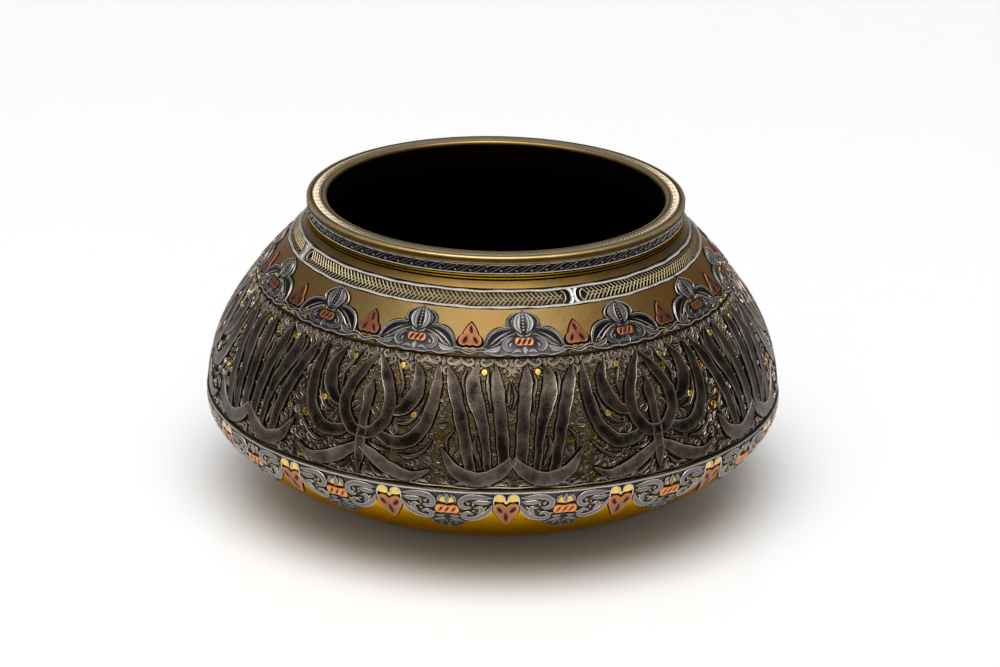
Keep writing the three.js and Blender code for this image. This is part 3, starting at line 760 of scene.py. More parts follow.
class BOWL_OT_shoulder(bpy.types.Operator):
    """Lays the shoulder's wires, lattice panels and separators into their channel"""

    bl_idname = "bowl.shoulder"
    bl_label = "Shoulder"

    UPPER_RUN, LOWER_RUN = 7.4, 15.0  # of the wires
    FLOOR = -0.6  # how deep in the channel the pieces stand
    PANELS = 4
    GAP = 3.3  # room beside each separator

    def execute(self, context):
        sizes = context.scene.bowl_sizes
        skin = Skin(sizes)
        for place, run in (("upper", self.UPPER_RUN), ("lower", self.LOWER_RUN)):
            wire = Relief()
            wire.band(skin, run, 0.12, 1.35, 1.25, 0.6, self.FLOOR)
            laid = self.shaded_at_sides(wire.repeated(skin, 0.0, run))
            node = f"shoulder_wire_{place}"
            add_piece(f"{place}_wire", laid, ["silver_wire"], [node], is_smooth=True)
        middle = (self.UPPER_RUN + self.LOWER_RUN) / 2
        quarter = TURN / self.PANELS
        radius = skin.radius(middle)
        panel = self.lattice(quarter * radius / 2 - self.GAP)
        knob = Relief()
        path = [[2.3, 3.4, 1.2], [1.0, 2.4, 1.6], [0.62, 0, 1.5], [1.0, -2.4, 1.6], [2.3, -3.4, 1.2]]
        knob.stroke(path, 1.0, 0.2, SHEET, self.FLOOR, 0.7)
        knob.mirror()
        knob.disc((0, 0), 1.0, 1.15, 0.6, self.FLOOR, 12)
        for i in range(self.PANELS):
            start = sizes.panel_turn + i * quarter
            laid = self.shaded_at_sides(panel.repeated(skin, start + quarter / 2, middle, radius))
            nodes = [f"shoulder_panel_{i + 1}"]
            add_piece(f"lattice_panel_{i + 1}", laid, ["engraved_brass"], nodes)
            laid = knob.repeated(skin, start, middle, radius)
            nodes = [f"shoulder_separator_{i + 1}"]
            add_piece(f"separator_knob_{i + 1}", laid, ["silver_wire"], nodes)
        return {"FINISHED"}

    @staticmethod
    def shaded_at_sides(laid):
        """Takes from the brightness a painted shade that darkens the sides and the back."""
        points, worn, faces = laid
        return points, worn - 0.3 * side_shade(np.arctan2(points[:, 0], -points[:, 1]), 0.2), faces

    def lattice(self, half):
        """Slanting ridges in two rows that cross in the middle, on a thin plate with round ends."""
        panel = Relief()
        columns = np.linspace(-half, half, 90)
        panel.strip(np.stack([columns, 0 * columns], axis=1), 6.0, 0.3, 0.1, FLAT, self.FLOOR)
        spacing = 2.1
        bars = int((2 * half - 3.4) / spacing)
        x = (np.arange(bars) - (bars - 1) / 2) * spacing
        for lean, low, high, height in ((-1.7, -1.1, 2.85, 0.32), (1.7, -2.85, 1.1, 0.28)):
            bar = Relief()
            path = np.array([[-lean, low], [0, (low + high) / 2], [lean, high]])
            bar.strip(path, 0.74, height, 0.3, RIDGE, self.FLOOR + 0.25)
            bar.worn *= 0.95
            for place in x:
                panel.join(bar, (place, 0, 0))
        arc = [[-1.8, 2.7, 0.6], [-0.5, 1.6, 0.7], [-0.2, 0, 0.7], [-0.5, -1.6, 0.7], [-1.8, -2.7, 0.6]]
        for side in (-1, 1):
            path = (np.array(arc) + [half, 0, 0]) * [side, 1, 1]
            panel.stroke(path, 0.55, 0.6, WIRE, self.FLOOR + 0.2, 0.7)
        return panel


class Border:
    """A border of like repeats round the bowl, laid out flat about a run."""

    def __init__(self, sizes, run, repeats, turn):
        self.skin = Skin(sizes)
        self.run = run
        self.radius = self.skin.radius(run)
        self.half = math.pi * self.radius / repeats
        self.step = TURN / repeats
        self.turns = turn + np.arange(repeats) * self.step

    def laid(self, relief):
        """The relief at every repeat."""
        return relief.repeated(self.skin, self.turns, self.run, self.radius)

    def plate(self, x, edge, foot, spread, lift, height, tone):
        """A plate all round, between a joining line and an edge above or below it. At each x its
        rows run from the foot to the edge, both pushed out by the spread, and its rim is a bevel."""
        direction = np.sign(edge.mean() - foot)
        outer = edge + direction * spread
        start = foot - direction * min(spread, 0.1)
        rows = start + (outer - start)[:, None] * np.array([0, 0.001, 0.35, 0.7, 0.999, 1.0])
        rows = rows + np.array([0, BEVEL, 0, 0, -BEVEL, 0]) * direction
        rise = np.array([0, 1, 1, 1, 1, 0]) * height + lift
        worn = np.array([0, 0.1, 0, 0, 0.1, 0]) + tone
        swing = (self.turns[:, None] + x[None] / self.radius).ravel()
        y = np.tile(rows, (len(self.turns), 1))
        points = self.skin.wrap(swing[:, None] + 0 * y, self.run - y, np.broadcast_to(rise, y.shape))
        faces = grid_faces(len(swing), rows.shape[1], True, True)
        if direction > 0:
            faces = faces[:, ::-1]
        return points.reshape(-1, 3), np.tile(worn, len(swing)), [faces]

    def add_numbered(self, name, node, number, turn, forms, metals, slot):
        """A numbered piece at a turn, of several [relief, which of the metals]."""
        laid = merged(*(form.repeated(self.skin, turn, self.run, self.radius) for form, _ in forms))
        rows = [np.full(sum(len(f) for f in form.faces), which) for form, which in forms]
        nodes = [f"{node}_{number:02d}"]
        add_piece(f"{name}_{number:02d}", laid, metals, nodes, np.concatenate(rows))


def cartouche(bow, y, tone, lift, spacing, across, along):
    """A domed plate in the shape of a bow, with three slanting dents side by side.

    bow: half length and half width of its ends, place of its corners, half width of its waist."""
    end_x, end_y, corner_x, corner_y, waist = bow
    outline = [[-end_x, end_y], [-end_x, -end_y], [-corner_x, -corner_y], [0, -waist],
               [corner_x, -corner_y], [end_x, -end_y], [end_x, end_y], [corner_x, corner_y],
               [0, waist], [-corner_x, corner_y]]
    dents = [(x, y, across, along, 0.34, -0.5) for x in (-spacing, 0, spacing)]
    form = Relief()
    form.plate(closed_curve(outline, 4) + [0, y], CARTOUCHE, tone, lift, (0, y), dents)
    return form


def spirals(spots, shift, *sizes):
    """Small spirals at [x, y, radius, start], shifted upwards, and their mirror images."""
    form = Relief()
    for x, y, radius, start in spots:
        form.spiral((x, y + shift), radius, start, 1.2, *sizes, 10)
    form.mirror()
    return form


def domed(outline, heights, centre, dents):
    """A copper sheet with a worn rim, and a duller face that rises in rings to its centre."""
    shares = [1, 0.985, 0.93, 0.82, 0.68, 0.54, 0.4, 0.27, 0.14]
    worn = [0, 0.5, 0.8, 0.45, 0.4, 0.4, 0.4, 0.4, 0.4]
    form = Relief()
    form.plate(outline, np.column_stack([shares, heights, worn]), 0.1, 0.0, centre, dents)
    return form


class BOWL_OT_upper_frieze(bpy.types.Operator):
    """Lays the upper frieze: palmettes on a wavy line, copper leaves and cartouches"""

    bl_idname = "bowl.upper_frieze"
    bl_label = "Upper frieze"

    RISE = 9.4  # how far above the foot the repeats are laid out

    def execute(self, context):
        sizes = context.scene.bowl_sizes
        foot_run = sizes.upper_foot / MM
        border = Border(sizes, foot_run - self.RISE, sizes.upper_repeats, sizes.upper_turn)
        # The edge: side lobes that flatten towards the middle, a crown that ends in a small point,
        # and a low line between the palmettes. Each lobe is an ellipse.
        x = np.linspace(-border.half, border.half, 96, endpoint=False)
        reach = np.abs(x)
        side = 3.4 + 9.8 * np.sqrt(np.clip(1 - ((reach - 9.9) / 7.5) ** 2, 0, 1))
        side = np.where(reach < 9.9, 13.2, side)
        crown = 15.3 + 4.7 * np.sqrt(np.clip(1 - (x / 7.9) ** 2, 0, 1)) + 1.0 * np.exp(-((x / 1.1) ** 2))
        crown = np.where(reach <= 7.9, crown, 0)
        edge = np.maximum(np.maximum(side, crown), 2.4)
        edge = np.where(reach > 17.4, 2.4, edge) - self.RISE

        motif = self.palmette(border.half)
        motif.worn *= 0.87
        motif.points[:, 1] -= self.RISE
        laid = merged(border.plate(x, edge, -self.RISE, -0.1, 0.0, 0.5, 0.03), border.laid(motif))
        add_piece("upper_palmettes", laid, ["grey_silver"], ["upper_silver_frieze"])
        bed = border.plate(x, edge, -self.RISE, 0.75, -0.3, 0.42, -0.3)
        add_piece("upper_outline", bed, ["blackened_brass"])

        middle = cartouche((4.0, 0.9, 3.0, 1.9, 1.7), 6.4 - self.RISE, -0.05, 0.5, 2.2, 0.34, 1.5)
        middle.worn *= 0.65
        add_piece("upper_cartouches", border.laid(middle), ["annealed_copper"])
        spots = ((4.7, 9.4, 0.8, 1.0), (2.6, 9.3, 0.6, 2.0), (10.9, 1.5, 0.7, 0.5),
                 (20.4, 1.1, 0.7, 2.0), (18.6, 0.9, 0.6, 4.0), (13.2, 5.6, 0.6, 1.0))
        scrolls = spirals(spots, -self.RISE, 0.5, 0.35, 0.5, 0.5)
        add_piece("upper_brass_scrolls", border.laid(scrolls), ["punched_brass"])
        self.leaves(border)
        return {"FINISHED"}

    @staticmethod
    def palmette(half):
        """The right half of one palmette in strokes, mirrored, with its beads and joining line."""
        motif = Relief()
        lift = 0.42
        # The crown: a thin rim, a bud half beside the slit, and a dark crescent outside it
        motif.strokes(
            ([[0.2, 20.7, 0.5], [3.4, 19.6, 0.6], [6.2, 17.6, 0.6], [7.3, 15.2, 0.6],
              [6.4, 13.5, 0.4]], 0.5, 0.5, WIRE, lift, 0.9),
            ([[0.95, 19.9, 0.5], [2.5, 17.6, 2.7], [3.1, 14.9, 3.2], [2.4, 12.4, 2.3],
              [1.0, 10.3, 0.4]], 0.5, 0.42, VEINED, lift),
            ([[3.5, 18.9, 0.4], [5.6, 16.9, 1.5], [5.9, 14.9, 1.5], [5.0, 12.9, 0.5]],
             0.36, -0.12, SHEET, lift),
        )
        # The side lobe: a thin rim, a dark half-moon and a light line below it that curls up
        motif.strokes(
            ([[5.6, 12.9, 0.5], [9.4, 12.9, 0.6], [13.2, 11.5, 0.6], [16.0, 8.1, 0.6],
              [16.9, 3.6, 0.5]], 0.5, 0.5, WIRE, lift, 0.9),
            ([[4.8, 11.6, 0.5], [8.8, 11.1, 2.7], [12.4, 9.2, 3.7], [14.8, 6.2, 2.6],
              [15.8, 3.4, 0.5]], 0.42, -0.08, SHEET, lift),
            ([[3.9, 10.3, 0.4], [6.6, 9.2, 0.7], [9.4, 7.4, 0.8], [11.4, 5.4, 0.8],
              [14.2, 3.9, 0.4]], 0.5, 0.55, WIRE, lift, 0.9),
        )
        # A leaf that flows out under it to the tip, and the scroll beside the cartouche
        motif.strokes(
            ([[9.9, 4.6, 0.5], [11.6, 3.2, 2.1], [13.8, 2.5, 2.0], [17.4, 1.9, 0.5]],
             0.46, 0.42, VEINED, lift),
            ([[4.6, 8.3, 0.4], [6.6, 7.7, 1.7], [8.4, 6.0, 2.3], [8.1, 3.7, 2.3], [6.2, 2.6, 1.7],
              [4.8, 3.3, 0.4]], 0.5, 0.2, SHEET, lift, 0.8),
            ([[5.6, 5.9, 0.4], [6.2, 5.0, 1.0], [5.9, 4.1, 0.4]], 0.4, 0.5, SHEET, lift, 0.6),
            ([[0.3, 9.0, 0.4], [2.0, 9.4, 0.9], [3.2, 10.6, 0.4]], 0.42, 0.4, SHEET, lift),
            ([[1.4, 1.7, 0.4], [2.7, 2.5, 1.4], [4.2, 2.2, 1.0], [5.4, 1.2, 0.4]],
             0.46, 0.42, SHEET, lift),
        )
        # The joining line: a low wave, and a shorter one above it between the palmettes
        motif.strokes(
            ([[0, 0.4, 0.6], [3.6, 0.1, 0.75], [7.2, 0.8, 0.6], [11, 0.1, 0.75], [15.2, 1.0, 0.7],
              [18.6, 2.2, 0.6], [half - 1.2, 0.9, 0.7], [half, 0.7, 0.7]], 0.5, 0.35, WIRE, lift, 0.9),
            ([[12.4, 1.6, 0.4], [16.6, 3.4, 0.6], [19.2, 3.3, 0.7], [21, 2.4, 0.6],
              [half, 1.9, 0.6]], 0.42, 0.45, WIRE, 0.3, 0.9),
        )
        motif.mirror()
        motif.stroke([[0, 4.3, 0.4], [0, 2.7, 2.3], [0, 0.9, 0.5]], 0.5, 0.45, SHEET, lift, 0.7)
        for i in range(6):
            motif.disc((0, 19.0 - 1.45 * i), 0.52, 0.55, 0.3, lift, 8)
        return motif

    @staticmethod
    def leaves(border):
        """Each leaf is a domed plate with three tear-shaped dents, on a dark bed."""
        half = [[0, 5.75], [0.9, 4.9], [2.0, 3.4], [2.9, 1.7], [3.4, 0.3], [4.6, -0.9],
                [5.2, -2.8], [4.5, -4.5], [2.8, -5.1], [1.2, -4.7], [0, -5.1]]
        outline = closed_curve(mirrored(half), 4)
        bed = Relief()
        bed.plate(outline * 1.16, BED, -0.4, -0.3, (0, -1))
        leaf = domed(
            outline,
            [0, 0.55, 0.8, 0.78, 0.8, 0.82, 0.84, 0.85, 0.85],
            (0, -1.4),
            [(0.1, 2.4, 0.5, 1.4, 0.42, 0.2), (-2.1, -2.5, 0.5, 1.3, 0.4, -0.35),
             (2.3, -2.5, 0.5, 1.3, 0.4, 0.5)],
        )
        leaf.worn *= 0.42
        metals = ["annealed_copper", "blackened_brass"]
        for i, turn in enumerate(border.turns + border.step / 2):
            forms = ((bed, 1), (leaf, 0))
            border.add_numbered("leaf", "upper_copper_leaf", i + 1, turn, forms, metals, "copper_sheet")


class BOWL_OT_lower_frieze(bpy.types.Operator):
    """Lays the lower frieze: hanging palmettes, copper hearts and cartouches, and brass lobes"""

    bl_idname = "bowl.lower_frieze"
    bl_label = "Lower frieze"

    DROP = 13  # how far below the head the repeats are laid out

    def execute(self, context):
        sizes = context.scene.bowl_sizes
        head_run = sizes.lower_head / MM
        border = Border(sizes, head_run + self.DROP, sizes.lower_repeats, sizes.lower_turn)
        # The edge: wings that narrow downwards, a pointed lobe below them, and between the
        # palmettes an arch over each heart's two lobes
        x = np.linspace(-border.half, border.half, 96, endpoint=False)
        reach = np.abs(x)
        wing = np.interp(
            reach, [0, 9.6, 13.3, 16.2, 18.4, 19.7, 20.2], [19, 18.9, 17.4, 14.2, 10.4, 6.4, 4.2]
        )
        lobe = np.where(reach < 8.4, 19.2 + 7.0 * np.clip(1 - (reach / 8.4) ** 1.7, 0, 1), 0)
        arch = 1.7 + 2.2 * np.clip((np.abs(border.half - reach - 3.2) / 3.0), 0, 1) ** 2
        edge = self.DROP - np.where(reach > 20.2, arch, np.maximum(wing, lobe))

        motif = self.palmette(border.half)
        motif.points[:, 1] += self.DROP
        laid = merged(border.plate(x, edge, self.DROP, -0.1, 0.0, 0.46, 0.06), border.laid(motif))
        add_piece("lower_palmettes", laid, ["grey_silver"], ["lower_silver_frieze"])
        bed = border.plate(x, edge, self.DROP, 0.8, -0.3, 0.42, -0.3)
        add_piece("lower_outline", bed, ["blackened_brass"])

        middle = cartouche((5.1, 1.2, 3.9, 2.5, 2.2), self.DROP - 9.4, 0.75, 0.45, 2.8, 0.4, 1.8)
        add_piece("lower_cartouches", border.laid(middle), ["annealed_copper"])
        spots = ((11.2, -6.5, 0.6, 1.0), (5.6, -12.2, 0.55, 0.5), (16.4, -8.0, 0.6, 3.0),
                 (11.4, -9.9, 0.6, 2.4), (16.8, -3.9, 0.4, 0))
        scrolls = spirals(spots, self.DROP, 0.55, 0.35, 0.45, 0.6)
        add_piece("lower_brass_scrolls", border.laid(scrolls), ["punched_brass"])
        self.hearts(border)
        return {"FINISHED"}

    @staticmethod
    def palmette(half):
        """The right half of one hanging palmette in strokes, mirrored, with its head line."""
        motif = Relief()
        lift = 0.4
        motif.stroke(
            [[0, -0.5, 0.9], [7, -0.6, 0.9], [14, -0.4, 0.9], [19.6, -0.5, 0.9], [half, -0.5, 0.9]],
            0.5, 0.6, WIRE, lift,
        )
        # A wing leaf that runs in from the upper corner and curls beside the cartouche
        motif.strokes(
            ([[19.4, -2.6, 0.4], [15.8, -2.7, 1.9], [11.8, -2.4, 2.3], [8.2, -2.9, 2.4],
              [6.0, -4.7, 2.4], [6.3, -7.1, 2.3], [8.5, -8.2, 1.8], [10.2, -7.2, 0.6]],
             0.5, 0.42, SHEET, lift, 0.8),
            ([[8.2, -4.7, 0.4], [9.2, -5.6, 1.3], [9.0, -6.6, 0.4]], 0.42, 0.5, SHEET, lift, 0.6),
            ([[10.8, -4.7, 0.4], [13.6, -5.0, 2.1], [16.6, -5.1, 1.8], [19.2, -4.4, 0.4]],
             0.44, 0.4, VEINED, lift),
        )
        # A crescent down the side that curls under the cartouche
        motif.strokes(
            ([[19.3, -6.0, 0.5], [17.9, -9.6, 2.3], [15.2, -12.9, 3.1], [11.8, -15.3, 2.9],
              [8.4, -15.5, 2.5], [6.8, -13.5, 2.1], [7.9, -11.3, 1.9], [10.2, -11.2, 1.3],
              [11.0, -12.6, 0.5]], 0.5, 0.45, SHEET, lift, 0.8),
            ([[11.6, -8.0, 0.4], [14.2, -7.8, 2.0], [14.9, -9.6, 2.3], [12.8, -11.8, 0.6]],
             0.45, 0.45, VEINED, lift),
        )
        # Small leaves round the cartouche
        motif.strokes(
            ([[1.7, -2.1, 0.4], [3.0, -3.3, 1.6], [3.9, -5.4, 0.5]], 0.42, 0.45, SHEET, lift, 0.8),
            ([[1.2, -13.4, 0.4], [3.0, -14.2, 1.7], [5.0, -14.0, 0.5]], 0.42, 0.42, SHEET, lift, 0.8),
            ([[0.8, -15.9, 0.4], [3.2, -16.6, 1.5], [6.2, -17.4, 0.5]], 0.42, 0.35, SHEET, lift, 0.8),
        )
        # The dark pointed lobe, parted by a slit
        lobe = [[0.5, -18.6], [0.5, -25.6], [2.8, -24.5], [5.4, -22.7], [7.3, -20.4], [7.0, -18.9],
                [4.0, -18.2]]
        rings = [[1, 0, 0.1], [0.95, 0.36, 0.7], [0.84, 0.34, 0.05], [0.5, 0.34, 0]]
        motif.plate(closed_curve(lobe, 4), rings, -0.05, lift)
        motif.stroke([[2.2, -19.3, 0.3], [3.8, -20.2, 0.8], [3.4, -22.6, 0.3]], 0.45, 0.1, RIDGE, lift, 0.8)
        # The arch that runs over to the next palmette
        motif.stroke(
            [[19.9, -7.0, 0.5], [19.9, -4.0, 0.8], [20.7, -1.9, 0.9], [22.4, -1.4, 0.9],
             [24.2, -2.2, 0.8], [half - 0.6, -4.6, 0.7]],
            0.6, 0.65, WIRE, 0.2, 0.8,
        )
        motif.mirror()
        motif.stroke([[0, -1.5, 0.5], [0, -3.7, 2.5], [0, -6.3, 0.5]], 0.5, 0.45, SHEET, lift, 0.7)
        return motif

    @staticmethod
    def hearts(border):
        """Each heart is a domed plate with two round dents and a long one, on a dark bed, with two
        bright brass lobes above it."""
        half = [[0, 5.9], [1.3, 7.1], [3.0, 7.6], [4.8, 6.9], [5.75, 5.0], [5.3, 2.4], [3.9, -1.0],
                [2.2, -4.6], [0, -8.1]]
        outline = closed_curve(mirrored(half), 4)
        bed, lobes = Relief(), Relief()
        bed.plate(outline * 1.14, BED, -0.4, -0.3, (0, 1))
        heart = domed(
            outline,
            [0, 0.5, 0.72, 0.7, 0.72, 0.74, 0.76, 0.77, 0.77],
            (0, 1.6),
            [(0, -1.2, 0.6, 2.6, 0.4, 0.08), (-2.8, 3.9, 0.65, 1.4, 0.38, 0.5),
             (2.8, 3.9, 0.65, 1.4, 0.38, -0.5)],
        )
        heart.worn *= 0.85
        lobe = [[0.9, 8.4], [3.2, 8.2], [5.4, 8.9], [5.5, 10.6], [4.0, 12.2], [2.2, 12.0], [1.1, 10.4]]
        lobes.plate(closed_curve(lobe, 3), [[1, 0, 0.8], [0.96, 0.3, 0.9], [0.6, 0.5, 1]], 0.8, 0.05)
        lobes.mirror()
        metals = ["annealed_copper", "blackened_brass", "punched_brass"]
        for i, turn in enumerate(border.turns + border.step / 2):
            forms = ((bed, 1), (lobes, 2), (heart, 0))
            border.add_numbered("heart", "lower_copper_heart", i + 1, turn, forms, metals, "copper_sheet")


# The main band's two arabesques: [x, y, width] along each stroke's middle, y up from the band's
# middle; whether it is mirrored; and its brightness.
LANCET_BARS = [
    ([[0, -15.5, 3.6], [6, -21.4, 6.0], [15, -24.4, 6.6], [24, -20.4, 5.2], [30, -11.5, 0.8]], True, 0.34),
    ([[7.6, 26.4, 0.8], [6.9, 18.5, 5.6], [5.4, 6, 5.4], [4.3, -6, 5.4], [3.6, -17.5, 4.8]], True, 0.16),
    ([[30.4, 25.2, 0.8], [27.4, 17.6, 5.4], [23.6, 6, 5.6], [20.4, -6, 5.2], [17.4, -21, 4.2]], True, 0.16),
    ([[15.0, 26.2, 0.8], [17.8, 20.4, 5.6], [17.0, 12.4, 7.4], [13.8, 3, 5.8], [11.6, -7, 3.8],
      [10.2, -20, 3.0]], True, 0.15),
]
DROP_BARS = [
    ([[0, 26.6, 1.2], [5.8, 18, 4.8], [10.4, 7.6, 5.6], [9.8, -1.6, 5.8], [4.8, -8, 5.4],
      [-0.4, -9.4, 4.6]], True, 0.15),
    ([[0, 14.5, 0.6], [0, 8.2, 5.0], [0, 1.4, 4.2], [0, -8.8, 4.4], [0, -18, 4.6], [0, -26.6, 0.8]],
     False, 0.24),
    ([[0.6, -14.5, 3.0], [8, -19.6, 5.8], [17, -24.0, 5.8], [25, -24.6, 3.8], [31.4, -21.2, 0.8]],
     True, 0.34),
    ([[11.4, 1.4, 3.0], [16.8, 3.4, 5.4], [21.2, 9.4, 6.8], [22.4, 17.4, 5.4], [18.6, 26.2, 0.8]],
     True, 0.15),
    ([[5.6, -7.6, 3.2], [13, -10.8, 5.4], [21, -9.8, 6.2], [27.4, -2.6, 5.6], [30.4, 8.4, 5.4],
      [31.0, 18, 4.4], [30.2, 26.2, 0.8]], True, 0.16),
]
# Thin tendrils between the bars, mirrored
LANCET_TENDRILS = [
    [[0.2, 18.4, 0.4], [1.6, 12.4, 1.3], [0.4, 6.4, 0.4]],
    [[10.6, 23.4, 0.4], [11.4, 18.4, 1.3], [10.2, 12.2, 1.2], [9.4, 5.4, 0.4]],
    [[21.6, 23.6, 0.4], [22.6, 18.2, 1.3], [21.2, 11.6, 0.4]],
    [[15.2, -5.2, 0.5], [16.4, -10.2, 1.5], [14.2, -15.4, 1.3], [13.4, -18.4, 0.4]],
    [[24.6, -2.6, 0.4], [27.8, -7.4, 1.3], [27.2, -12.6, 0.4]],
]
DROP_TENDRILS = [
    [[3.6, -12.8, 0.4], [8.2, -14.8, 1.3], [13.4, -15.4, 0.4]],
    [[4.2, -22.4, 0.4], [8.2, -25.6, 1.3], [13.2, -27.4, 0.4]],
    [[16.6, -16.2, 0.4], [22.4, -16.6, 1.4], [27.8, -13.6, 1.2], [31.6, -8.4, 0.4]],
    [[15.4, -2.8, 0.4], [20.4, -1.8, 1.4], [24.6, 3.8, 1.3], [26.6, 11.2, 0.4]],
    [[9.8, 25.4, 0.4], [12.8, 20.2, 1.4], [15.2, 14.0, 1.2], [14.8, 8.4, 0.4]],
]
# Curls along the band's upper and lower edge, one set for each eighth of an arabesque
EDGE_CURLS = [
    [[-4.6, 28.6, 0.5], [-2.6, 26.6, 1.5], [0.4, 25.6, 1.6], [2.2, 26.9, 1.3], [1.0, 28.3, 1.0],
     [0, 27.2, 0.4]],
    [[1.2, 24.9, 0.4], [3.4, 23.6, 1.4], [3.2, 21.4, 1.1], [1.7, 21.0, 0.4]],
    [[3.4, 28.5, 0.4], [4.6, 26.4, 1.4], [3.9, 24.8, 0.4]],
    [[-4.2, -28.3, 0.4], [-2.0, -26.6, 1.1], [0.6, -26.4, 1.2], [2.2, -27.8, 0.4]],
]
BAND_DOTS = [[22.4, 1.6], [12.8, 22.6]]


class BOWL_OT_band(bpy.types.Operator):
    """Lays the main band: arabesques over a ground of fine scrolls"""

    bl_idname = "bowl.band"
    bl_label = "Main band"

    TOP = 28.5  # half the height that the ground's ornament fills
    TOP_LIGHT = 0.1 / 27  # how much brighter the silver is painted for each mm up: painted light on the band's top
    ROWS, BAYS = 12, 14  # of scrolls in one arabesque's share of the ground
    ROOM = 2.3  # radius of the circle that a sprig needs
    RIM = 1.1  # how much wider than a bar its dark bed is

    def execute(self, context):
        sizes = context.scene.bowl_sizes
        start, end = in_mm(sizes.band_start, sizes.band_end)
        border = Border(sizes, (start + end) / 2, sizes.arabesques, sizes.band_turn)
        ground = -sizes.ground_depth / MM
        lines = []
        for first, kind, bars, tendrils in (
            (0, "lancet", LANCET_BARS, LANCET_TENDRILS),
            (1, "drop", DROP_BARS, DROP_TENDRILS),
        ):
            unit, bed = self.arabesque(bars, tendrils, ground)
            metals = ["tarnished_silver", "blackened_brass"]
            for i in range(first, sizes.arabesques, 2):
                names = f"{kind}_inlay", f"{kind}_arabesque"
                forms = ((bed, 1), (unit, 0))
                border.add_numbered(*names, i + 1, border.turns[i], forms, metals, "silver_dark")
            for points in [points for points, *_ in bars] + tendrils:
                line = smooth_path(points, 1.0)
                lines += [(first, line), (first, line * [-1, 1, 1])]
        bay, row_pitch = 2 * border.half / self.BAYS, 2 * self.TOP / self.ROWS
        spots, places = self.places(border, lines, bay, row_pitch)
        self.scrolls(border, spots, bay, ground, (start + 0.2, end - 0.2))
        self.sprigs(border, places, ground)
        self.stems(border, bay, row_pitch, ground)
        self.curls(border, ground)
        self.dots(border, ground)
        self.edge_line(border.skin, end - 0.75, ground)
        return {"FINISHED"}

    def arabesque(self, bars, tendrils, ground):
        """The bars cross at slightly different heights, so that one passes over the next."""
        unit, bed = Relief(), Relief()
        for order, (points, is_pair, tone) in enumerate(bars):
            height = 1.3 - 0.05 * order
            for side in (1, -1) if is_pair else (1,):
                path = np.array(points) * [side, 1, 1]
                unit.stroke(path, height + 0.02 * side, tone, SLAB, ground, 1.1)
                bed.stroke(path + [0, 0, self.RIM], 0.5, -0.4, FLAT, ground, 1.4)
        for points in tendrils:
            for side in (1, -1):
                path = np.array(points) * [side, 1, 1]
                unit.stroke(path, 0.85, 0.3, SHEET, ground, 0.9)
                bed.stroke(path + [0, 0, self.RIM], 0.46, -0.4, FLAT, ground, 1.6)
        # Painted light: the bars are painted lighter the higher they lie on the band
        unit.worn += self.TOP_LIGHT * unit.points[:, 1] - 0.09
        for relief in (unit, bed):
            hand_cut(relief, 0.16)
        return unit, bed

    def places(self, border, lines, bay, row_pitch):
        """Where the ground holds a scroll and where a sprig. A scroll keeps 0.3 mm off the lines
        and 2.6 mm off a sprig's middle, and its spot is [x, y, turn of its arabesque, which way up,
        whether it is brass]. A sprig's place is what open_places gives, and that turn."""
        width = 2 * border.half
        i, j = np.meshgrid(np.arange(self.BAYS), np.arange(self.ROWS), indexing="ij")
        up = np.where((i + j) % 2 == 0, 1, -1)
        x = (i + 0.5) * bay - border.half
        y = (j + 0.5) * row_pitch - self.TOP + 0.3 * up
        centres = np.stack([x.ravel(), y.ravel()], axis=1)
        is_brass = ((i * 5 + j * 3) % 4 == 0).ravel()
        spots, places = [], []
        for unit, turn in enumerate(border.turns):
            own = [line for first, line in lines if first == unit % 2]
            beside = [line for first, line in lines if first != unit % 2]
            beside = [line + [shift, 0, 0] for shift in (width, -width) for line in beside]
            near = np.vstack(own + beside)
            leaves = self.open_places(near, border.half)
            taken = np.linalg.norm(centres[:, None] - leaves[None, :, :2], axis=2).min(axis=1)
            free = (self.room(centres, near) > 0.3) & (taken > 2.6)
            turns = np.full(len(centres), turn)
            spots.append(np.column_stack([centres, turns, up.ravel(), is_brass])[free])
            places.append(np.column_stack([leaves, np.full(len(leaves), turn)]))
        return np.vstack(spots), np.vstack(places)

    @staticmethod
    def room(spots, near):
        """How far each spot is from the nearest line's edge."""
        gap = np.linalg.norm(spots[:, None] - near[None, :, :2], axis=2) - near[None, :, 2] / 2
        return gap.min(axis=1)

    def open_places(self, near, half):
        """Where a sprig fits between the lines, the roomiest places first and 4.7 mm apart, each
        with its mirror image: x, y, which sprig it is, which half it is in, how far it leans."""
        x, y = np.meshgrid(np.arange(2.4, half - self.ROOM, 1.2), np.arange(-26, 25, 1.2), indexing="ij")
        spots = np.stack([x.ravel(), y.ravel()], axis=1)
        room = self.room(spots, near)
        chosen = []
        for i in np.argsort(-room):
            if room[i] > self.ROOM and all(np.linalg.norm(spots[i] - other) > 4.7 for other in chosen):
                chosen.append(spots[i])
        return np.array(
            [
                [side * east, north, i % 3, side, side * (0.9 * i + 0.4)]
                for i, (east, north) in enumerate(chosen)
                for side in (1, -1)
            ]
        )

    def scattered(self, border, form, spots, lean, shift=0.0, share=1.0, limits=(-np.inf, np.inf)):
        """The form at each spot [x, y, turn], turned in its plane by the lean and moved along and
        up by the shift, with a share of its own brightness and painted lighter the higher it lies."""
        x, y, h = form.points.T
        cos, sin = np.cos(lean)[:, None], np.sin(lean)[:, None]
        turn = spots[:, 2, None] + (spots[:, 0, None] + x * cos - y * sin + shift) / border.radius
        run = np.clip(border.run - spots[:, 1, None] - x * sin - y * cos - shift, *limits)
        points = border.skin.wrap(turn, run, np.broadcast_to(h, turn.shape)).reshape(-1, 3)
        worn, faces = copies(form, len(spots))
        return points, share * worn + self.TOP_LIGHT * np.repeat(spots[:, 1], len(x)), faces

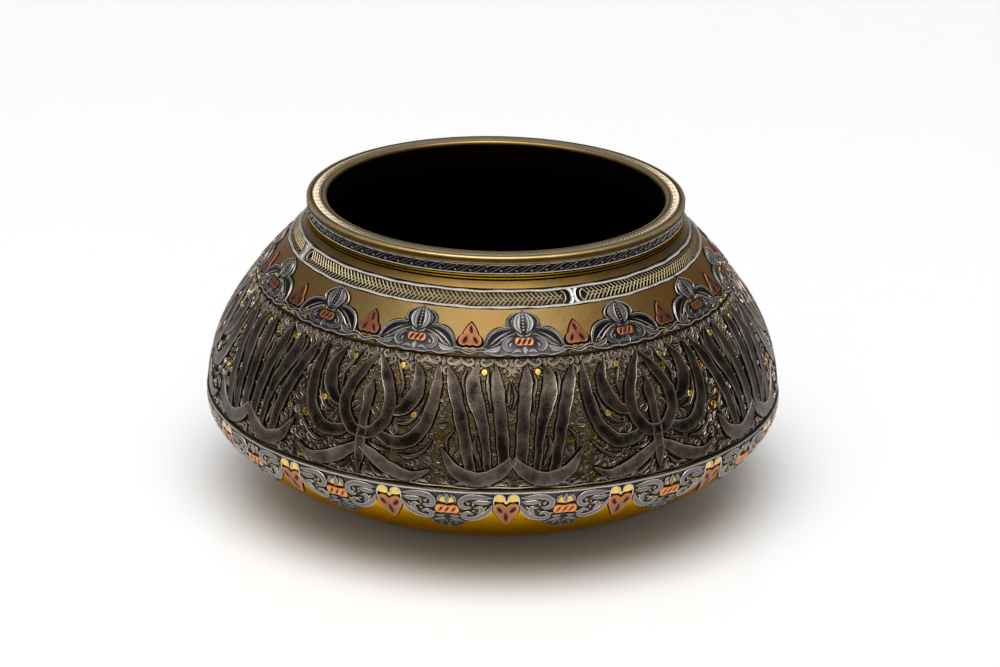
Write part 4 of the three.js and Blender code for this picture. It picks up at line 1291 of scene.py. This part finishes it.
    def scrolls(self, border, spots, bay, ground, limits):
        """A spiral in each free bay of the stems, with a pearl beside it."""
        spiral, pearl = Relief(), Relief()
        spiral.spiral((0, 0), 2.0, -2.2, 1.5, 0.85, 0.5, ground, 0.3, 14)
        pearl.disc((0, 0), 0.42, 0.4, 0.2, ground, 6)
        for name, metals, slot, is_brass in (
            ("ground_scrolls", ["tarnished_silver"], "silver_sheet", 0),
            ("ground_scrolls_brass", ["punched_brass"], "brass_body", 1),
        ):
            laid = []
            for side in (1, -1):
                some = spots[(spots[:, 3] == side) & (spots[:, 4] == is_brass)]
                lean = np.full(len(some), 0 if side == 1 else math.pi)
                for form, shift in ((spiral, 0.0), (pearl, bay / 2)):
                    laid.append(self.scattered(border, form, some, lean, shift, 0.95, limits))
            add_piece(name, merged(*laid), metals)

    def sprigs(self, border, places, ground):
        """Three small forms in the ground's open places: a comma, a pair of leaves, a trefoil."""
        comma, pair, trefoil = Relief(), Relief(), Relief()
        tail = [[-0.8, -2.6, 0.4], [0.4, -2.1, 0.9]]
        comma.swirl(tail, (0, 0.3), 1.7, -1.3, 1.0, 1.3, 0.75, 0.2, ground)
        for side in (-1, 1):
            path = np.array([[0.3, -2.3, 0.5], [1.2, -0.9, 1.5], [1.4, 0.8, 1.3], [0.5, 2.3, 0.4]])
            pair.stroke(path * [side, 1, 1], 0.72, 0.2, VEINED, ground, 0.8)
        for turn in (0, TURN / 3, 2 * TURN / 3):
            out = np.array([math.cos(turn), math.sin(turn)])
            path = [[*(out * reach), width] for reach, width in ((0.4, 0.6), (1.3, 1.7), (2.3, 0.5))]
            trefoil.stroke(path, 0.7, 0.25, SHEET, ground, 0.7)
        laid = []
        for number, form in enumerate((comma, pair, trefoil)):
            for side in (1, -1):
                some = places[(places[:, 2] == number) & (places[:, 3] == side)]
                laid.append(self.scattered(border, form, some[:, [0, 1, 5]], some[:, 4]))
        add_piece("ground_sprigs", merged(*laid), ["tarnished_silver"])

    def stems(self, border, bay, row_pitch, ground):
        """A wavy ridge along each row of scrolls, as a sine with half a wave to a bay."""
        stems = Relief()
        for row in range(self.ROWS + 1):
            x = np.linspace(-border.half, border.half, 144)
            y = row * row_pitch - self.TOP + 0.7 * np.sin(x / bay * math.pi + row * math.pi)
            y = np.clip(y, 0.1 - self.TOP, self.TOP - 0.1)
            stems.strip(np.stack([x, y], axis=1), 0.5, 0.38, 0.25, RIDGE, ground)
        # Painted light: the stems are painted lighter the higher they lie on the band
        stems.worn = 0.66 * stems.worn + 1.2 * self.TOP_LIGHT * stems.points[:, 1]
        add_piece("ground_stems", border.laid(stems), ["tarnished_silver"])

    @staticmethod
    def curls(border, ground):
        """Curls along the band's edges, every second set of them mirrored."""
        curls = Relief()
        for i in range(8):
            place = [(i + 0.5) * border.half / 4 - border.half, 0, 0]
            flip = [1 if i % 2 else -1, 1, 1]
            for path in EDGE_CURLS:
                curls.stroke(np.array(path) * flip + place, 0.7, 0.45, SHEET, ground, 0.8)
        curls.worn *= 0.85
        add_piece("edge_curls", border.laid(curls), ["tarnished_silver"])

    @staticmethod
    def dots(border, ground):
        """Round brass dots, in pairs."""
        dots = Relief()
        for x, y in BAND_DOTS:
            for side in (-1, 1):
                dots.disc((side * x, y), 1.5, 0.75, 0.7, ground, 14)
        add_piece("gilt_dots", border.laid(dots), ["punched_brass"])

    @staticmethod
    def edge_line(skin, run, ground):
        """A silver line along the band's lower edge."""
        line = Relief()
        line.band(skin, run, 0.25, 0.7, 0.8, 0.1, ground)
        line.worn *= 0.6
        laid = line.repeated(skin, 0.0, run)
        add_piece("band_border", laid, ["tarnished_silver"])


class BOWL_OT_stage(bpy.types.Operator):
    """Sets up the floor, the light and the camera"""

    bl_idname = "bowl.stage"
    bl_label = "Stage"

    def execute(self, context):
        scene = context.scene
        scene.view_settings.view_transform = "Standard"
        self.camera(scene)
        self.floor(scene)
        self.light(scene)
        return {"FINISHED"}

    @staticmethod
    def camera(scene):
        """A long lens, a little above the bowl, rolled slightly so that the bowl leans as seen."""
        elevation, roll = math.radians(21.73), math.radians(0.97)
        distance, aim_height = 1.6313, 0.0508
        data = bpy.data.cameras.new("camera")
        data.sensor_width = 36
        data.lens = 126.1
        data.shift_x, data.shift_y = 0.0071, 0.0442
        data.clip_end = 20
        camera = bpy.data.objects.new("camera", data)
        scene.collection.objects.link(camera)
        place = (0, -distance * math.cos(elevation), aim_height + distance * math.sin(elevation))
        camera.matrix_world = (
            Matrix.Translation(place)
            @ Matrix.Rotation(math.pi / 2 - elevation, 4, "X")
            @ Matrix.Rotation(roll, 4, "Z")
        )
        scene.camera = camera

    @staticmethod
    def floor(scene):
        """A large pale sheet with a soft gloss, which keeps the bowl's shadow and reflection."""
        mesh = bpy.data.meshes.new("floor")
        reach = 6
        corners = [(-reach, -reach, 0), (reach, -reach, 0), (reach, reach, 0), (-reach, reach, 0)]
        mesh.from_pydata(corners, [], [(0, 1, 2, 3)])
        # Acrylic sheet, cast and polished: its gloss wavers a little, in patches of 25 mm
        material = bpy.data.materials.new("pale_acrylic")
        tree = cleared(material)
        place = add_node(tree, "ShaderNodeTexCoord").outputs["Object"]
        patches = {"Vector": place, "Scale": 40.0, "Detail": 2.0}
        haze = add_node(tree, "ShaderNodeTexNoise", inputs=patches).outputs["Fac"]
        spread = {"Value": haze, "To Min": 0.18, "To Max": 0.24}
        rough = add_node(tree, "ShaderNodeMapRange", inputs=spread).outputs["Result"]
        surface = {"Base Color": (*scene.bowl_colours.floor[:], 1), "Roughness": rough}
        shader = add_node(tree, "ShaderNodeBsdfPrincipled", inputs=surface)
        add_node(tree, "ShaderNodeOutputMaterial", inputs={"Surface": shader.outputs["BSDF"]})
        mesh.materials.append(material)
        floor = bpy.data.objects.new("floor", mesh)
        scene.collection.objects.link(floor)

    @staticmethod
    def light(scene):
        """A white tent: a large bright panel overhead that leans to the front, dim cloth all round
        and a white wall behind the camera."""
        world = bpy.data.worlds.new("studio")
        tree = cleared(world)
        towards = add_node(tree, "ShaderNodeTexCoord").outputs["Generated"]
        place = add_node(tree, "ShaderNodeSeparateXYZ", inputs={"Vector": towards})
        right, back, up = (place.outputs[axis] for axis in "XYZ")
        toward_panel = add_node(
            tree, "ShaderNodeVectorMath", {"operation": "DOT_PRODUCT"}, {0: towards, 1: (-0.04, -0.3, 0.953)}
        ).outputs["Value"]
        soft = {"interpolation_type": "SMOOTHSTEP"}
        # The panel's edge is soft, the cloth is brighter on the left, and the wall starts behind
        # the bowl's front and ends a third of the way up to the panel
        panel, cloth, ahead, wall = (
            add_node(tree, "ShaderNodeMapRange", settings, inputs).outputs["Result"]
            for settings, inputs in (
                (soft, {"Value": toward_panel, "From Min": 0.8, "From Max": 0.95, "To Max": 4.8}),
                ({}, {"Value": right, "From Min": -1, "To Min": 0.44, "To Max": 0.3}),
                (soft, {"Value": back, "From Min": -0.1, "From Max": -0.6}),
                (soft, {"Value": up, "From Min": 0.05, "From Max": 0.5, "To Min": 0.8, "To Max": 0}),
            )
        )
        lit = add_node(
            tree, "ShaderNodeMath", {"operation": "MULTIPLY_ADD"}, {0: ahead, 1: wall, 2: cloth}
        ).outputs[0]
        tent = add_node(tree, "ShaderNodeMath", {"operation": "ADD"}, {0: lit, 1: panel}).outputs[0]
        # The camera itself sees plain white beyond the floor
        sees = add_node(tree, "ShaderNodeLightPath").outputs["Is Camera Ray"]
        strength = add_node(
            tree, "ShaderNodeMix", {"data_type": "FLOAT"}, {"Factor": sees, "A": tent, "B": 1.0}
        ).outputs["Result"]
        background = add_node(tree, "ShaderNodeBackground", inputs={"Strength": strength})
        add_node(tree, "ShaderNodeOutputWorld", inputs={"Surface": background.outputs["Background"]})
        scene.world = world


class BOWL_PT_panel(bpy.types.Panel):
    """Lists the bowl's pieces in the sidebar"""

    bl_idname = "BOWL_PT_panel"
    bl_label = "Inlaid brass bowl"
    bl_space_type = "VIEW_3D"
    bl_region_type = "UI"
    bl_category = "Bowl"

    def draw(self, context):
        for operator in OPERATORS:
            self.layout.operator(operator.bl_idname)
        for group in (context.scene.bowl_sizes, context.scene.bowl_colours):
            column = self.layout.column()
            for name in group.bl_rna.properties.keys():
                if name not in {"rna_type", "name"}:
                    column.prop(group, name)


OPERATORS = (
    BOWL_OT_materials,
    BOWL_OT_body,
    BOWL_OT_mouth,
    BOWL_OT_shoulder,
    BOWL_OT_upper_frieze,
    BOWL_OT_lower_frieze,
    BOWL_OT_band,
    BOWL_OT_stage,
)
CLASSES = (BowlSizes, BowlColours, *OPERATORS, BOWL_PT_panel)


def register():
    for each in CLASSES:
        bpy.utils.register_class(each)
    bpy.types.Scene.bowl_sizes = bpy.props.PointerProperty(type=BowlSizes)
    bpy.types.Scene.bowl_colours = bpy.props.PointerProperty(type=BowlColours)


def unregister():
    del bpy.types.Scene.bowl_colours
    del bpy.types.Scene.bowl_sizes
    for each in reversed(CLASSES):
        bpy.utils.unregister_class(each)


def main():
    register()
    for operator in OPERATORS:
        group, name = operator.bl_idname.split(".")
        getattr(getattr(bpy.ops, group), name)()


if __name__ == "__main__":
    main()
